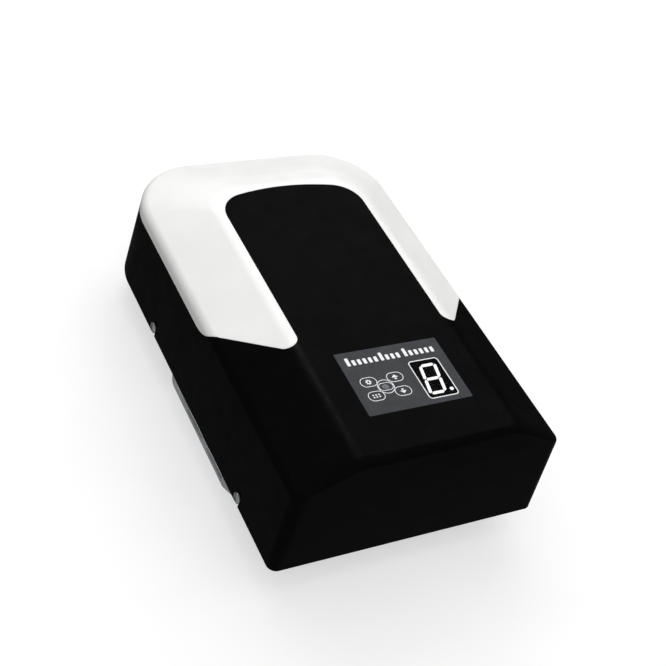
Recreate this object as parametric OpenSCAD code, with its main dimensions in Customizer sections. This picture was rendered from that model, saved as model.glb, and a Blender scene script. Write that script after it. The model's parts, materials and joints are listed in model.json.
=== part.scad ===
// Garage door opener head: hood with a wrap-round lamp lens over a geared motor.
// Origin on the floor plane under the middle of the hood. The control panel is at -Y.
// The head stands on its two hanging brackets; hung from a ceiling, -Z faces the ceiling.

/* [Hood] */
// Width of the hood at its lower edge
body_w = 250; // [248:1:252]
// Length of the hood at its lower edge
body_l = 394; // [390:1:398]
// Height of the hood above its lower edge
hood_h = 114; // [113:1:116]
// Height of the upright walls, up to the shoulder rounding
shoulder_h = 79; // [77:1:80]
// Radius of the shoulder rounding
shoulder_r = 10.6; // [9:0.2:11]
// How far the walls lean in over their height
draft = 3.5; // [3:0.5:4]
// Plan radius of the two rear corners
rear_r = 61; // [55:1:64]
// Plan radius of the two front corners
front_r = 8; // [7:1:10]
// Width of the raised flat top
plateau_w = 144; // [142:1:146]
// Wall thickness of the hood
hood_wall = 2.8; // [2.5:0.1:3]

/* [Lamp lens] */
// Height of the lens's lower edge above the hood's lower edge
lens_edge_h = 73.4; // [72:0.2:75]
// Width of the black tongue between the lens arms
tongue_w = 134.4; // [132:0.4:136]
// Distance of the tongue's rear end from the front of the hood
tongue_end = 315.2; // [308:0.2:316]
// Wall thickness of the lens
lens_wall = 2.4; // [2:0.1:2.6]

/* [Brackets and rail] */
// Depth of the hanging brackets below the hood
bracket_h = 34; // [34:1:38]
// Distance between the outer faces of the two hanging flanges
bracket_span = 226; // [222:1:228]
// Width of the rail that the clamps hold
rail_w = 36; // [34:1:37]

/* [Control panel] */
// Width of the label
label_w = 94.6; // [94:0.2:96]
// Depth of the label along the hood
label_d = 66.6; // [66:0.2:68]
// Travel of a key
key_travel = 0.5; // [0.3:0.1:0.6]

/* [Drive] */
// Teeth on the worm wheel
wheel_teeth = 40; // [40:4:40]
// Gear module
gear_m = 2; // [2:0.1:2]
// Pitch diameter of the worm
worm_pd = 16; // [16:1:16]
// Teeth on the drive sprocket
sprocket_teeth = 10; // [9:1:11]

/* [Hidden] */

skirt_z = bracket_h;
top_z = skirt_z + hood_h;
shoulder_z = skirt_z + shoulder_h;
front_y = -body_l / 2;
rear_y = body_l / 2;
front_draft = 1;
shoulder_corner_r = 11;
edge_r = 8;
plateau_end = 320;
plateau_r = 33;
ridge_r = 26;
side_slope = atan(1 / 1.665);
rear_slope = atan(1 / 2.9);
fit_gap = 0.3;
eps = 0.02;

// Points of an arc about c from angle a0 to a1 in n steps
function arc(c, r, a0, a1, n) =
    [for (i = [0 : n]) c + r * [cos(a0 + (a1 - a0) * i / n), sin(a0 + (a1 - a0) * i / n)]];
// Distance from the front of the hood turned into the model's Y
function from_front(d) = front_y + d;

// Half width at a drop below the flat top, where a slope meets the top in an arc of ridge_r
function ridge_line(edge, drop, slope) =
    drop < ridge_r * (1 - cos(slope))
        ? edge - ridge_r * tan(slope / 2) + sqrt(pow(ridge_r, 2) - pow(ridge_r - drop, 2))
        : edge + drop / tan(slope);

// Four thin corner discs; hulled, they make one level of the hood
module level(z, half_w, y0, y1, rf, rr) {
    for (s = [-1, 1]) {
        translate([s * (half_w - rf), y0 + rf, z]) cylinder(r = rf, h = eps, $fn = 32);
        translate([s * (half_w - rr), y1 - rr, z]) cylinder(r = rr, h = eps, $fn = 32);
    }
}

// Outer form of the hood, or the same form set in by t
module hood_form(t) {
    inner_r = shoulder_r - t;
    hull() {
        level(skirt_z - (t > 0 ? 1 : 0), body_w / 2 - t, front_y + t, rear_y - t,
            front_r - t, rear_r - t);
        for (phi = [0, 35, 65, 90]) {
            inset = shoulder_r - inner_r * cos(phi);
            level(shoulder_z + inner_r * sin(phi) - eps, body_w / 2 - draft - inset,
                front_y + front_draft + t, rear_y - draft - inset,
                max(shoulder_corner_r - inset, 4), rear_r - inset);
        }
        for (phi = [0, 30, 50, 65, 78, 90]) {
            drop = edge_r * (1 - sin(phi));
            level(top_z - drop - t - eps, ridge_line(plateau_w / 2, drop, side_slope) - t / 2,
                front_y + front_draft + t + edge_r * (1 - cos(phi)),
                from_front(ridge_line(plateau_end, drop, rear_slope)) - t / 2,
                5 + drop / 3, plateau_r + drop);
        }
    }
}

// Plan of the black tongue with its crowned rear end, grown by g
module tongue_plan(g) {
    w = tongue_w / 2 + g;
    r = tongue_r + g;
    crown_r = 204;
    crown_y = from_front(tongue_end) - crown_r;
    turn = asin((w - r) / (crown_r + g - r));
    corner = [w - r, crown_y + (crown_r + g - r) * cos(turn)];
    polygon(concat(
        [[-w, front_y - 10], [w, front_y - 10]],
        arc(corner, r, 0, 90 - turn, 10),
        arc([0, crown_y], crown_r + g, 90 - turn, 90 + turn, 12),
        arc([-corner[0], corner[1]], r, 90 + turn, 180, 10)
    ));
}

tongue_r = 27;
tip_r = 8.5;
tip = [tongue_w / 2 + tip_r, from_front(136.1)];
lens_slant = 49.6;
tip_edge = tip + tip_r * [sin(lens_slant), -cos(lens_slant)];

// Plan of the lens: behind the two slanted front edges, shrunk by g
module lens_plan(g) {
    r = tip_r - g;
    reach = 70;
    edge = tip + r * [sin(lens_slant), -cos(lens_slant)];
    right = concat(
        [[tongue_w / 2 - 20, tip[1]]],
        arc(tip, r, 180, 270 + lens_slant, 12),
        [edge + reach * [cos(lens_slant), sin(lens_slant)], [body_w / 2 + 20, rear_y + 10]]
    );
    last = len(right) - 1;
    left = [for (i = [0 : last]) [-right[last - i][0], right[last - i][1]]];
    polygon(concat(right, left));
}

// Where the side slope leaves the shoulder rounding
slope_x = body_w / 2 - draft - shoulder_r * (1 - sin(side_slope));
slope_y = tip_edge[1] + (slope_x - tip_edge[0]) * tan(lens_slant);
// Distance up the skin from the lens's lower edge to the shoulder and to the slope
wall_run = shoulder_h - lens_edge_h;
skin_run = wall_run + shoulder_r * (90 - side_slope) * PI / 180;
// Height of a place that lies s up the skin
function skin_z(s) = s < wall_run
    ? skirt_z + lens_edge_h + s
    : shoulder_z + shoulder_r * sin((s - wall_run) / shoulder_r * 180 / PI);

// Side view of the skin in front of the lens: a slanted edge that turns into the lower edge
module wall_front_plan(g) {
    r = 32;
    rise = tan(lens_slant) * cos(side_slope);
    lean = atan(rise);
    corner_y = slope_y + rise * (skin_run - r * (1 - sin(lean))) + r * cos(lean);
    bend = [for (i = [0 : 16]) let (a = 180 + lean + (90 - lean) * i / 16)
        [corner_y + (r - g) * cos(a), skin_z(r + (r - g) * sin(a))]];
    slope = [for (i = [0 : 4]) let (s = skin_run + 3 - i * (skin_run - r * (1 - sin(lean))) / 5)
        [slope_y + g + rise * (skin_run - s), skin_z(s)]];
    polygon(concat([[slope_y - 30, skirt_z + lens_edge_h - 3], [slope_y - 30, slope[0][1]]],
        slope, bend, [[corner_y, skirt_z + lens_edge_h - 3]]));
}

// Space that the lens takes out of the hood's skin
module lens_zone(g) {
    difference() {
        translate([0, 0, skirt_z + lens_edge_h + g])
            linear_extrude(height = hood_h) difference() {
                lens_plan(g);
                tongue_plan(g);
            }
        for (s = [-1, 1]) translate([s > 0 ? slope_x : -slope_x - 20, 0, 0])
            rotate([90, 0, 90]) linear_extrude(height = 20) wall_front_plan(g);
    }
}

label_x = 0.5;
label_y = from_front(76.85);
label_t = 0.5;
label_sink = 0.4;
label_z = top_z - label_sink;
key_w = 13.4;
key_d = 8.6;
key_keep = 0.3;
key_pos = [
    [-31.4, from_front(76.6)], [-7.2, from_front(77)],
    [-31.4, from_front(61.7)], [-7.2, from_front(61.9)]
];
lamp_pos = [-19.3, from_front(69.2)];
lamp_r = 3;
window_pos = [24.5, from_front(69)];
window_w = 26;
window_d = 39;
screw_y = [from_front(69.5), from_front(266)];
screw_z = skirt_z + 8.1;
inlet_x = 34;
inlet_z = skirt_z + 22;
inlet_w = 30;
inlet_h = 24;

module slot_2d(w, d) {
    r = d / 2;
    for (s = [-1, 1]) translate([s * (w / 2 - r), 0]) circle(r = r, $fn = 48);
    square([w - d, d], center = true);
}

module at(p, z) {
    translate([p[0], p[1], z]) children();
}

module rounded_rect(w, d, r) {
    for (x = [-1, 1], y = [-1, 1])
        translate([x * (w / 2 - r), y * (d / 2 - r)]) circle(r = r, $fn = 32);
    square([w - 2 * r, d], center = true);
    square([w, d - 2 * r], center = true);
}

module panel_openings(extra, depth) {
    for (p = key_pos) at(p, top_z - depth)
        linear_extrude(height = depth + 2) slot_2d(key_w + extra, key_d + extra);
    at(lamp_pos, top_z - depth) cylinder(r = lamp_r + 0.1 + extra / 2, h = depth + 2, $fn = 48);
}

// Black hood with the lens opening, panel recess and screw notches
module top_cover() {
    color([0.05, 0.05, 0.055]) difference() {
        hood_form(0);
        hood_form(hood_wall);
        lens_zone(0);
        at([label_x, label_y], top_z - label_sink)
            linear_extrude(height = 2) rounded_rect(label_w + 0.4, label_d + 0.4, 3);
        panel_openings(0, 8);
        at(window_pos, top_z - 8) linear_extrude(height = 12)
            rounded_rect(window_w - 2, window_d - 2, 2);
        for (s = [-1, 1], y = screw_y) translate([s * body_w / 2, y, screw_z]) {
            rotate([0, 90, 0]) cylinder(r = 3, h = 20, center = true, $fn = 32);
            translate([-10, -3, -20]) cube([20, 6, 20]);
        }
        translate([inlet_x - inlet_w / 2 - 2, rear_y - 12, skirt_z - 1])
            cube([inlet_w + 4, 20, inlet_z - skirt_z + inlet_h / 2 + 3]);
    }
}

// Opal lens wrapping the rear and both sides
module lamp_lens() {
    color([0.95, 0.95, 0.93]) intersection() {
        difference() {
            hood_form(0);
            hood_form(lens_wall);
        }
        lens_zone(fit_gap);
    }
}

plate_t = 2;
plate_top = skirt_z + plate_t;
flange_x = body_w / 2 - hood_wall - 1.8;
panel_face = rear_y - hood_wall - 2.6;
shaft_y = 60;
shaft_hole_r = 16;
hanger_x = bracket_span / 2;
hanger_t = 2.5;
hanger_leg = 34;
hanger_y0 = -102;
hanger_y1 = 40;
hanger_slots = [-62, -16];
hanger_slot_l = 37;
hanger_slot_r = 3.2;
hanger_slot_z = 6.4;
hanger_bolts = [-80, 33];
hanger_bolt_x = hanger_x - 20;
clamp_y = [-125, 5];
clamp_w = 24;
clamp_t = 2;
clamp_ear = 16;
clamp_bolt_x = rail_w / 2 + clamp_t + 8;

module plate_outline() {
    r = rear_r - hood_wall - 2;
    w = flange_x;
    y0 = front_y + hood_wall + 0.7;
    y1 = rear_y - hood_wall - 0.7;
    polygon(concat(
        [[-w + 5, y0], [w - 5, y0], [w, y0 + 5]],
        arc([w - r, y1 - r], r, 0, 90, 12),
        arc([r - w, y1 - r], r, 90, 180, 12),
        [[-w, y0 + 5]]
    ));
}

// Galvanised chassis plate with upturned side flanges and an inlet panel
module base_plate() {
    flange_y0 = -150;
    flange_l = 245;
    flange_h = 20;
    panel_w = 64;
    panel_h = 42;
    color([0.72, 0.74, 0.76]) difference() {
        union() {
            translate([0, 0, skirt_z]) linear_extrude(height = plate_t) plate_outline();
            for (s = [-1, 1]) translate([s * (flange_x - plate_t / 2), 0, skirt_z])
                translate([-plate_t / 2, flange_y0, 0]) cube([plate_t, flange_l, flange_h]);
            translate([inlet_x - panel_w / 2, panel_face - plate_t, skirt_z])
                cube([panel_w, plate_t, panel_h]);
        }
        translate([0, shaft_y, skirt_z - 1]) cylinder(r = shaft_hole_r, h = 4, $fn = 64);
        for (s = [-1, 1], y = hanger_bolts)
            translate([s * hanger_bolt_x, y, skirt_z - 1]) cylinder(r = 3.2, h = 4, $fn = 32);
        for (s = [-1, 1], y = clamp_y)
            translate([s * clamp_bolt_x, y, skirt_z - 1]) cylinder(r = 3.2, h = 4, $fn = 32);
        for (s = [-1, 1], y = screw_y)
            translate([s * flange_x, y, screw_z]) rotate([0, 90, 0])
                cylinder(r = 2.1, h = 10, center = true, $fn = 32);
        for (s = [-1, 1], i = [0 : 4])
            translate([s * 60, 130 + i * 9, skirt_z - 1]) linear_extrude(height = 4)
                slot_2d(44, 4);
        translate([inlet_x, rear_y, inlet_z]) cube([27.4, 40, 19.9], center = true);
    }
}

// One L-shaped hanging bracket; side is -1 for left, 1 for right
module hanging_bracket(side) {
    cut = 18;
    r = 8;
    depth = skirt_z;
    profile = concat(
        [[hanger_y0, depth], [hanger_y0, 9.5], [hanger_y0 + cut, 0]],
        arc([hanger_y1 - r, r], r, -90, 0, 8),
        [[hanger_y1, depth]]
    );
    color([0.74, 0.75, 0.77]) difference() {
        union() {
            translate([side * hanger_x - (side > 0 ? hanger_t : 0), 0, 0])
                rotate([90, 0, 90]) linear_extrude(height = hanger_t) polygon(profile);
            translate([side > 0 ? hanger_x - hanger_leg : -hanger_x, hanger_y0,
                depth - hanger_t])
                cube([hanger_leg, hanger_y1 - hanger_y0, hanger_t]);
        }
        for (y = hanger_slots)
            translate([side * hanger_x - 10, y, hanger_slot_z])
                rotate([90, 0, 90]) linear_extrude(height = 20)
                    slot_2d(hanger_slot_l, 2 * hanger_slot_r);
        for (y = hanger_bolts)
            translate([side * hanger_bolt_x, y, depth - 5]) cylinder(r = 3.2, h = 8, $fn = 32);
    }
}
module hanging_bracket_left() { hanging_bracket(-1); }
module hanging_bracket_right() { hanging_bracket(1); }

// Hexagon bolt pointing up from z, with its nut above the stack it clamps
module hex_bolt(d, stack, head_af) {
    translate([0, 0, -d * 0.65]) cylinder(r = head_af / sqrt(3), h = d * 0.65, $fn = 6);
    cylinder(r = d / 2, h = stack + d + 1, $fn = 24);
    translate([0, 0, stack]) cylinder(r = head_af / sqrt(3), h = d * 0.8, $fn = 6);
}

module bracket_bolts() {
    color([0.8, 0.8, 0.82])
        for (s = [-1, 1], y = hanger_bolts)
            translate([s * hanger_bolt_x, y, skirt_z - hanger_t])
                hex_bolt(6, hanger_t + plate_t, 10);
}

// Pan-head screws that hold the hood's skirt to the chassis flanges
module cover_screws() {
    head_r = 5;
    head_t = 2.8;
    color([0.7, 0.7, 0.72])
        for (s = [-1, 1], y = screw_y)
            translate([s * (body_w / 2 - 0.1), y, screw_z]) rotate([0, s * 90, 0]) {
                difference() {
                    rotate_extrude($fn = 48) polygon([
                        [0, 0], [head_r, 0], [head_r, head_t * 0.45], [head_r * 0.72, head_t * 0.86],
                        [head_r * 0.4, head_t], [0, head_t]
                    ]);
                    for (a = [0, 90]) rotate(a)
                        translate([-2.4, -0.55, head_t - 1.5]) cube([4.8, 1.1, 3]);
                }
                translate([0, 0, -10]) cylinder(r = 2, h = 10, $fn = 24);
            }
}

// Hat-shaped clamp round the rail, with its two ears under the chassis plate
module rail_clamp(y) {
    w = rail_w / 2 + 0.5;
    depth = 27;
    out = w + clamp_t;
    low = skirt_z - depth;
    color([0.74, 0.75, 0.77]) difference() {
        translate([0, y + clamp_w / 2, 0]) rotate([90, 0, 0]) linear_extrude(height = clamp_w)
            polygon([
                [-out - clamp_ear, skirt_z], [-w, skirt_z], [-w, low + clamp_t],
                [w, low + clamp_t], [w, skirt_z], [out + clamp_ear, skirt_z],
                [out + clamp_ear, skirt_z - clamp_t], [out, skirt_z - clamp_t], [out, low],
                [-out, low], [-out, skirt_z - clamp_t], [-out - clamp_ear, skirt_z - clamp_t]
            ]);
        for (s = [-1, 1]) translate([s * clamp_bolt_x, y, skirt_z - 5])
            cylinder(r = 3.2, h = 8, $fn = 32);
    }
}
module rail_clamp_front() { rail_clamp(clamp_y[0]); }
module rail_clamp_rear() { rail_clamp(clamp_y[1]); }

module rail_clamp_bolts() {
    color([0.8, 0.8, 0.82])
        for (s = [-1, 1], y = clamp_y)
            translate([s * clamp_bolt_x, y, skirt_z - clamp_t])
                hex_bolt(6, clamp_t + plate_t, 10);
}

// Printed label, pierced for the keys, the lamp and the display
module control_label() {
    color([0.27, 0.28, 0.31]) difference() {
        at([label_x, label_y], label_z) linear_extrude(height = label_t)
            rounded_rect(label_w, label_d, 3);
        panel_openings(0, 4);
        at(window_pos, label_z - 1) linear_extrude(height = 4)
            rounded_rect(window_w, window_d, 2.5);
    }
}

board_z = top_z - 13;
board_t = 1.6;

// Smoked window over the digit
module display_window() {
    color([0.05, 0.03, 0.03]) at(window_pos, label_z) linear_extrude(height = label_t)
        rounded_rect(window_w - 0.3, window_d - 0.3, 2.3);
}

segment_t = 0.4;
digit_z = label_z - segment_t - 0.1;
digit_lean = 10;
segment_len = 12.2;
segment_w = 2.6;

module segment(len, vertical) {
    h = len / 2;
    t = segment_w / 2;
    rotate(vertical ? 90 : 0)
        polygon([[-h, 0], [-h + t, t], [h - t, t], [h, 0], [h - t, -t], [-h + t, -t]]);
}

module digit_plan() {
    gap = 0.5;
    wide = segment_len;
    tall = 14.5;
    multmatrix([[1, tan(digit_lean), 0, 0], [0, 1, 0, 0], [0, 0, 1, 0], [0, 0, 0, 1]]) {
        for (y = [-tall, 0, tall]) translate([0, y]) segment(wide - gap, false);
        for (x = [-wide / 2 - 0.6, wide / 2 + 0.6], y = [-tall / 2, tall / 2])
            translate([x, y]) segment(tall - gap, true);
    }
    translate([10.6, -tall + 1.1]) circle(r = 1.6, $fn = 24);
}

// The seven bars and the point that light up
module display_segments() {
    color([0.9, 0.9, 0.92]) at([window_pos[0] - 0.4, window_pos[1]], digit_z)
        linear_extrude(height = segment_t) digit_plan();
}

// Black body of the one-digit display
module display_module() {
    color([0.06, 0.06, 0.06]) at(window_pos, board_z + board_t)
        linear_extrude(height = digit_z - board_z - board_t - 0.05)
            square([window_w - 2.3, window_d - 3], center = true);
}

keypad_screw_pos = [[-42, label_y - 24], [44, label_y - 24], [-42, label_y + 24], [44, label_y + 24]];

// Circuit board under the panel
module keypad_board() {
    color([0.1, 0.35, 0.18]) difference() {
        at([1, label_y], board_z) linear_extrude(height = board_t)
            square([94, 56], center = true);
        for (p = keypad_screw_pos) at(p, board_z - 1) cylinder(r = 1.7, h = 4, $fn = 24);
    }
}

// Screws and spacers that hang the keypad board under the hood
module keypad_screws() {
    color([0.75, 0.75, 0.77])
        for (p = keypad_screw_pos) at(p, board_z) {
            translate([0, 0, -1.8]) cylinder(r = 2.8, h = 1.8, $fn = 24);
            cylinder(r = 1.5, h = board_t, $fn = 24);
            translate([0, 0, board_t]) cylinder(r = 3, h = 13 - board_t - hood_wall, $fn = 24);
        }
}

switch_h = 3.5;
actuator_h = 0.8;

module tact_switches() {
    color([0.15, 0.15, 0.15])
        for (p = key_pos) at(p, board_z + board_t) {
            translate([-3, -3, 0]) cube([6, 6, switch_h]);
            cylinder(r = 1.7, h = switch_h + actuator_h, $fn = 24);
        }
}

// Clear rod that brings the status lamp's light up to the label
module light_pipe() {
    color([0.85, 0.88, 0.9]) at(lamp_pos, board_z + board_t)
        cylinder(r = lamp_r, h = 13 - board_t + 0.1, $fn = 48);
}

// Oval key with a retaining flange under the hood and a stem onto its switch
module key_cap(p) {
    top = label_z + label_t;
    under = top_z - hood_wall;
    stem_low = board_z + board_t + switch_h + actuator_h + key_travel + 0.3;
    color([0.27, 0.28, 0.31]) {
        at(p, under - key_keep) linear_extrude(height = top - under + key_keep)
            slot_2d(key_w - 2 * key_keep, key_d - 2 * key_keep);
        at(p, under - key_keep - 1.2) linear_extrude(height = 1.2)
            slot_2d(key_w + 1.6, key_d + 1.6);
        at(p, stem_low) cylinder(r = 1.6, h = under - key_keep - 1.2 - stem_low + eps, $fn = 32);
    }
}
module key_set() { key_cap(key_pos[0]); }
module key_up() { key_cap(key_pos[1]); }
module key_code() { key_cap(key_pos[2]); }
module key_down() { key_cap(key_pos[3]); }

main_z = plate_top + 10;
main_w = 200;
main_d = 96;
main_y = -135;
standoff_pos = [for (x = [-94, 94], y = [-42, 42]) [x, main_y + y]];

// Control circuit board on four posts
module main_board() {
    color([0.1, 0.35, 0.18]) difference() {
        at([0, main_y], main_z) linear_extrude(height = board_t)
            square([main_w, main_d], center = true);
        for (p = standoff_pos) at(p, main_z - 1) cylinder(r = 1.7, h = 4, $fn = 24);
        for (s = [-1, 1]) at([s * clamp_bolt_x, clamp_y[0]], main_z - 1)
            cylinder(r = 8, h = 4, $fn = 32);
    }
}

module board_standoffs() {
    color([0.85, 0.78, 0.45])
        for (p = standoff_pos) at(p, plate_top) cylinder(r = 3.5, h = 10, $fn = 6);
}

module board_screws() {
    color([0.78, 0.78, 0.8])
        for (p = standoff_pos) at(p, main_z) {
            cylinder(r = 1.5, h = board_t, $fn = 24);
            translate([0, 0, board_t]) cylinder(r = 3, h = 2.2, $fn = 24);
        }
}

module on_board(x, y) {
    translate([x, main_y + y, main_z + board_t]) children();
}

module relays() {
    color([0.1, 0.25, 0.5])
        for (i = [0 : 1]) on_board(40 + i * 24, 12) translate([-9.5, -8, 0]) cube([19, 16, 15.5]);
}

module smoothing_capacitor() {
    color([0.12, 0.12, 0.2]) on_board(-62, 8) {
        cylinder(r = 12.5, h = 38, $fn = 48);
        translate([0, 0, 38]) cylinder(r = 11.5, h = 1, $fn = 48);
    }
}

// Screw terminals for the push button, light barrier and mains
module terminal_block() {
    ways = 10;
    pitch = 5.08;
    color([0.1, 0.5, 0.25]) on_board(-20, -38) difference() {
        translate([-ways * pitch / 2, -5, 0]) cube([ways * pitch, 10, 12]);
        for (i = [0 : ways - 1]) {
            x = (i - (ways - 1) / 2) * pitch;
            translate([x, 1, 8]) cylinder(r = 1.8, h = 6, $fn = 20);
            translate([x - 1.8, -6, 2]) cube([3.6, 6, 4]);
        }
    }
}

module fuse_holder() {
    color([0.8, 0.82, 0.85]) on_board(64, -34) {
        for (s = [-1, 1]) translate([s * 9 - 2.5, -3.5, 0]) cube([5, 7, 6]);
        translate([-10, 0, 4.5]) rotate([0, 90, 0]) cylinder(r = 2.5, h = 20, $fn = 24);
    }
}

// Plug-in radio receiver standing on the board
module radio_module() {
    color([0.12, 0.4, 0.2]) on_board(-76, -26) {
        translate([-14, -0.8, 0]) cube([28, 1.6, 18]);
        translate([-9, -3.8, 5]) cube([14, 3, 10]);
        translate([-14, -2, 0]) cube([28, 4, 3]);
    }
}

module logic_chips() {
    color([0.08, 0.08, 0.08]) {
        on_board(0, 14) translate([-7, -7, 0]) cube([14, 14, 1.6]);
        on_board(-30, 14) translate([-5, -4, 0]) cube([10, 8, 1.5]);
        on_board(16, -8) translate([-5, -3, 0]) cube([10, 6, 1.5]);
        on_board(86, 16) translate([-5, -2.5, 0]) cube([10, 5, 16]);
    }
}

// Flat ribbon from the keypad board down to the main board
module ribbon_cable() {
    x = -30;
    w = 16;
    y = label_y + 20;
    color([0.6, 0.6, 0.62]) {
        translate([x - w / 2, y - 3, board_z - 5]) cube([w, 6, 5]);
        translate([x - w / 2, y - 0.5, main_z + board_t + 5])
            cube([w, 1, board_z - 5 - main_z - board_t - 5 + eps]);
        translate([x - w / 2, y - 3, main_z + board_t]) cube([w, 6, 5 + eps]);
    }
}

transformer_x = 58;
transformer_y = -32;
core_w = 84;
core_d = 36;
core_h = 70;
core_z = plate_top + 2;
coil_t = 15;

// Stack of laminations with two windows for the windings
module transformer_core() {
    color([0.35, 0.36, 0.38]) translate([transformer_x, transformer_y, core_z]) difference() {
        translate([-core_w / 2, -core_d / 2, 0]) cube([core_w, core_d, core_h]);
        for (s = [-1, 1]) translate([s * 21 - 7, -core_d, 14])
            cube([14, 2 * core_d, core_h - 28]);
    }
}

module transformer_windings() {
    gap = 0.3;
    h = core_h - 28 - 2 * gap;
    color([0.75, 0.42, 0.2])
        translate([transformer_x, transformer_y, core_z + 14 + gap]) difference() {
            linear_extrude(height = h) rounded_rect(56 - 2 * gap, core_d + 2 * coil_t, 8);
            translate([-14 - gap, -core_d / 2 - gap, -1])
                cube([28 + 2 * gap, core_d + 2 * gap, h + 2]);
        }
}

// Steel strap over the core with a foot on each side
module transformer_frame() {
    t = 1.5;
    foot = 12;
    w = core_w / 2;
    color([0.7, 0.72, 0.74]) translate([transformer_x, transformer_y, 0]) difference() {
        union() {
            translate([-w - t, -12, plate_top]) cube([t, 24, core_z - plate_top + core_h + t]);
            translate([w, -12, plate_top]) cube([t, 24, core_z - plate_top + core_h + t]);
            translate([-w - t, -12, core_z + core_h]) cube([2 * (w + t), 24, t]);
            translate([-w, -12, plate_top]) cube([2 * w, 24, t]);
            for (s = [-1, 1]) translate([s * (w + foot / 2) - foot / 2, -12, plate_top])
                cube([foot, 24, t]);
        }
        for (s = [-1, 1]) translate([s * (w + t + 6), 0, plate_top - 1])
            cylinder(r = 2.2, h = 4, $fn = 24);
    }
}

module transformer_screws() {
    color([0.78, 0.78, 0.8])
        for (s = [-1, 1])
            translate([transformer_x + s * (core_w / 2 + 7.5), transformer_y, plate_top + 1.5]) {
                translate([0, 0, -1.5]) cylinder(r = 2, h = 1.5, $fn = 24);
                cylinder(r = 4, h = 2.6, $fn = 24);
            }
}

axis_z = plate_top + 34;
worm_x = -(gear_m * wheel_teeth + worm_pd) / 2;
motor_r = 30;
motor_y0 = -70;
motor_y1 = 12;
can_t = 2;
armature_r = 21;
magnet_r = 22;
bore_play = 0.05;
shaft_r = 4;
worm_turns = 5;
worm_pitch = PI * gear_m;
shaft_y1 = 94;

// Something turned about the motor axis; its own Z runs along +Y
module on_motor_axis(y) {
    translate([worm_x, y, axis_z]) rotate([-90, 0, 0]) children();
}

// Drawn steel tube of the motor
module motor_can() {
    color([0.55, 0.56, 0.58]) difference() {
        on_motor_axis(motor_y0) cylinder(r = motor_r, h = motor_y1 - motor_y0, $fn = 96);
        on_motor_axis(motor_y0 - 1)
            cylinder(r = motor_r - can_t, h = motor_y1 - motor_y0 - 1, $fn = 96);
        on_motor_axis(motor_y1 - 5) cylinder(r = 8.05, h = 10, $fn = 48);
    }
}

// Two ferrite arcs glued into the tube
module motor_magnets() {
    l = 52;
    color([0.2, 0.2, 0.21]) intersection() {
        on_motor_axis(motor_y0 + 22) difference() {
            cylinder(r = motor_r - can_t - 0.05, h = l, $fn = 96);
            translate([0, 0, -1]) cylinder(r = magnet_r, h = l + 2, $fn = 96);
        }
        for (s = [-1, 1]) translate([worm_x + s * 30 - 21, motor_y0, axis_z - 22])
            cube([42, 90, 44]);
    }
}

// Plastic end of the motor, with the rear bearing seat
module motor_end_cap() {
    color([0.1, 0.1, 0.1]) difference() {
        union() {
            on_motor_axis(motor_y0 - 10) cylinder(r = motor_r, h = 10, $fn = 96);
            on_motor_axis(motor_y0) cylinder(r = motor_r - can_t - 0.05, h = 3, $fn = 96);
        }
        on_motor_axis(motor_y0 - 7) cylinder(r = 24, h = 12, $fn = 96);
        on_motor_axis(motor_y0 - 12) cylinder(r = 8.05, h = 6, $fn = 48);
    }
}

// Two carbon brushes in their holders
module motor_brushes() {
    color([0.25, 0.22, 0.2])
        for (s = [-1, 1]) translate([worm_x + s * 15.5 - 5, motor_y0 + 5, axis_z - 3])
            cube([10, 9, 6]);
}

// Slotted laminations with copper end turns
module motor_armature() {
    slots = 10;
    l = 48;
    color([0.62, 0.38, 0.2]) difference() {
        union() {
            on_motor_axis(motor_y0 + 24) cylinder(r = armature_r, h = l, $fn = 96);
            on_motor_axis(motor_y0 + 18) cylinder(r = 16, h = l + 12, $fn = 64);
        }
        for (i = [0 : slots - 1]) on_motor_axis(motor_y0 + 23)
            rotate(i * 360 / slots) translate([17, -1.2, 0]) cube([8, 2.4, l + 2]);
        on_motor_axis(motor_y0 + 10) cylinder(r = shaft_r, h = l + 40, $fn = 48);
    }
}

module commutator() {
    bars = 10;
    color([0.8, 0.5, 0.25]) difference() {
        on_motor_axis(motor_y0 + 3) cylinder(r = 10, h = 14, $fn = 64);
        on_motor_axis(motor_y0) cylinder(r = shaft_r, h = 30, $fn = 48);
        for (i = [0 : bars - 1]) on_motor_axis(motor_y0 + 2)
            rotate(i * 360 / bars) translate([8.4, -0.3, 0]) cube([3, 0.6, 16]);
    }
}

// Radius of the worm's cross-section at angle a for a tooth with sloping flanks
worm_crest = worm_pd / 2 + 0.8 * gear_m;
worm_root = worm_pd / 2 - 1.2 * gear_m;
worm_half = 1.2;
flank = 0.36;
function worm_axial(a) = abs(a - 180) / 360 * worm_pitch;
function worm_radius(a) =
    let (r = worm_pd / 2 + (worm_half - worm_axial(a)) / flank)
    min(worm_crest, max(worm_root, r));

// Motor shaft in one piece with the worm thread
module worm_shaft() {
    steps = 24;
    l = worm_turns * worm_pitch;
    color([0.75, 0.76, 0.78]) {
        on_motor_axis(motor_y0 - 8) cylinder(r = shaft_r, h = shaft_y1 - motor_y0 + 8, $fn = 48);
        on_motor_axis(shaft_y - l / 2)
            linear_extrude(height = l, twist = -360 * worm_turns, slices = worm_turns * 12)
                polygon([for (i = [0 : steps - 1])
                    let (a = i * 360 / steps) worm_radius(a) * [cos(a + 180), sin(a + 180)]]);
    }
}

// Ring magnet that the speed sensor counts
module encoder_magnet() {
    color([0.15, 0.15, 0.16]) difference() {
        on_motor_axis(motor_y0 - 14) cylinder(r = 7, h = 5, $fn = 48);
        on_motor_axis(motor_y0 - 8) cylinder(r = shaft_r, h = 4, $fn = 48);
    }
}

module hall_sensor_board() {
    color([0.1, 0.35, 0.18]) translate([worm_x, motor_y0 - 10, axis_z]) {
        translate([-12, -8, 8.5]) cube([24, 6, 1.6]);
        translate([-2, -7, 7.6]) cube([4, 4, 1]);
        translate([-12, -8, 8.5]) cube([3, 8, 8]);
        translate([9, -8, 8.5]) cube([3, 8, 8]);
    }
}

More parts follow.
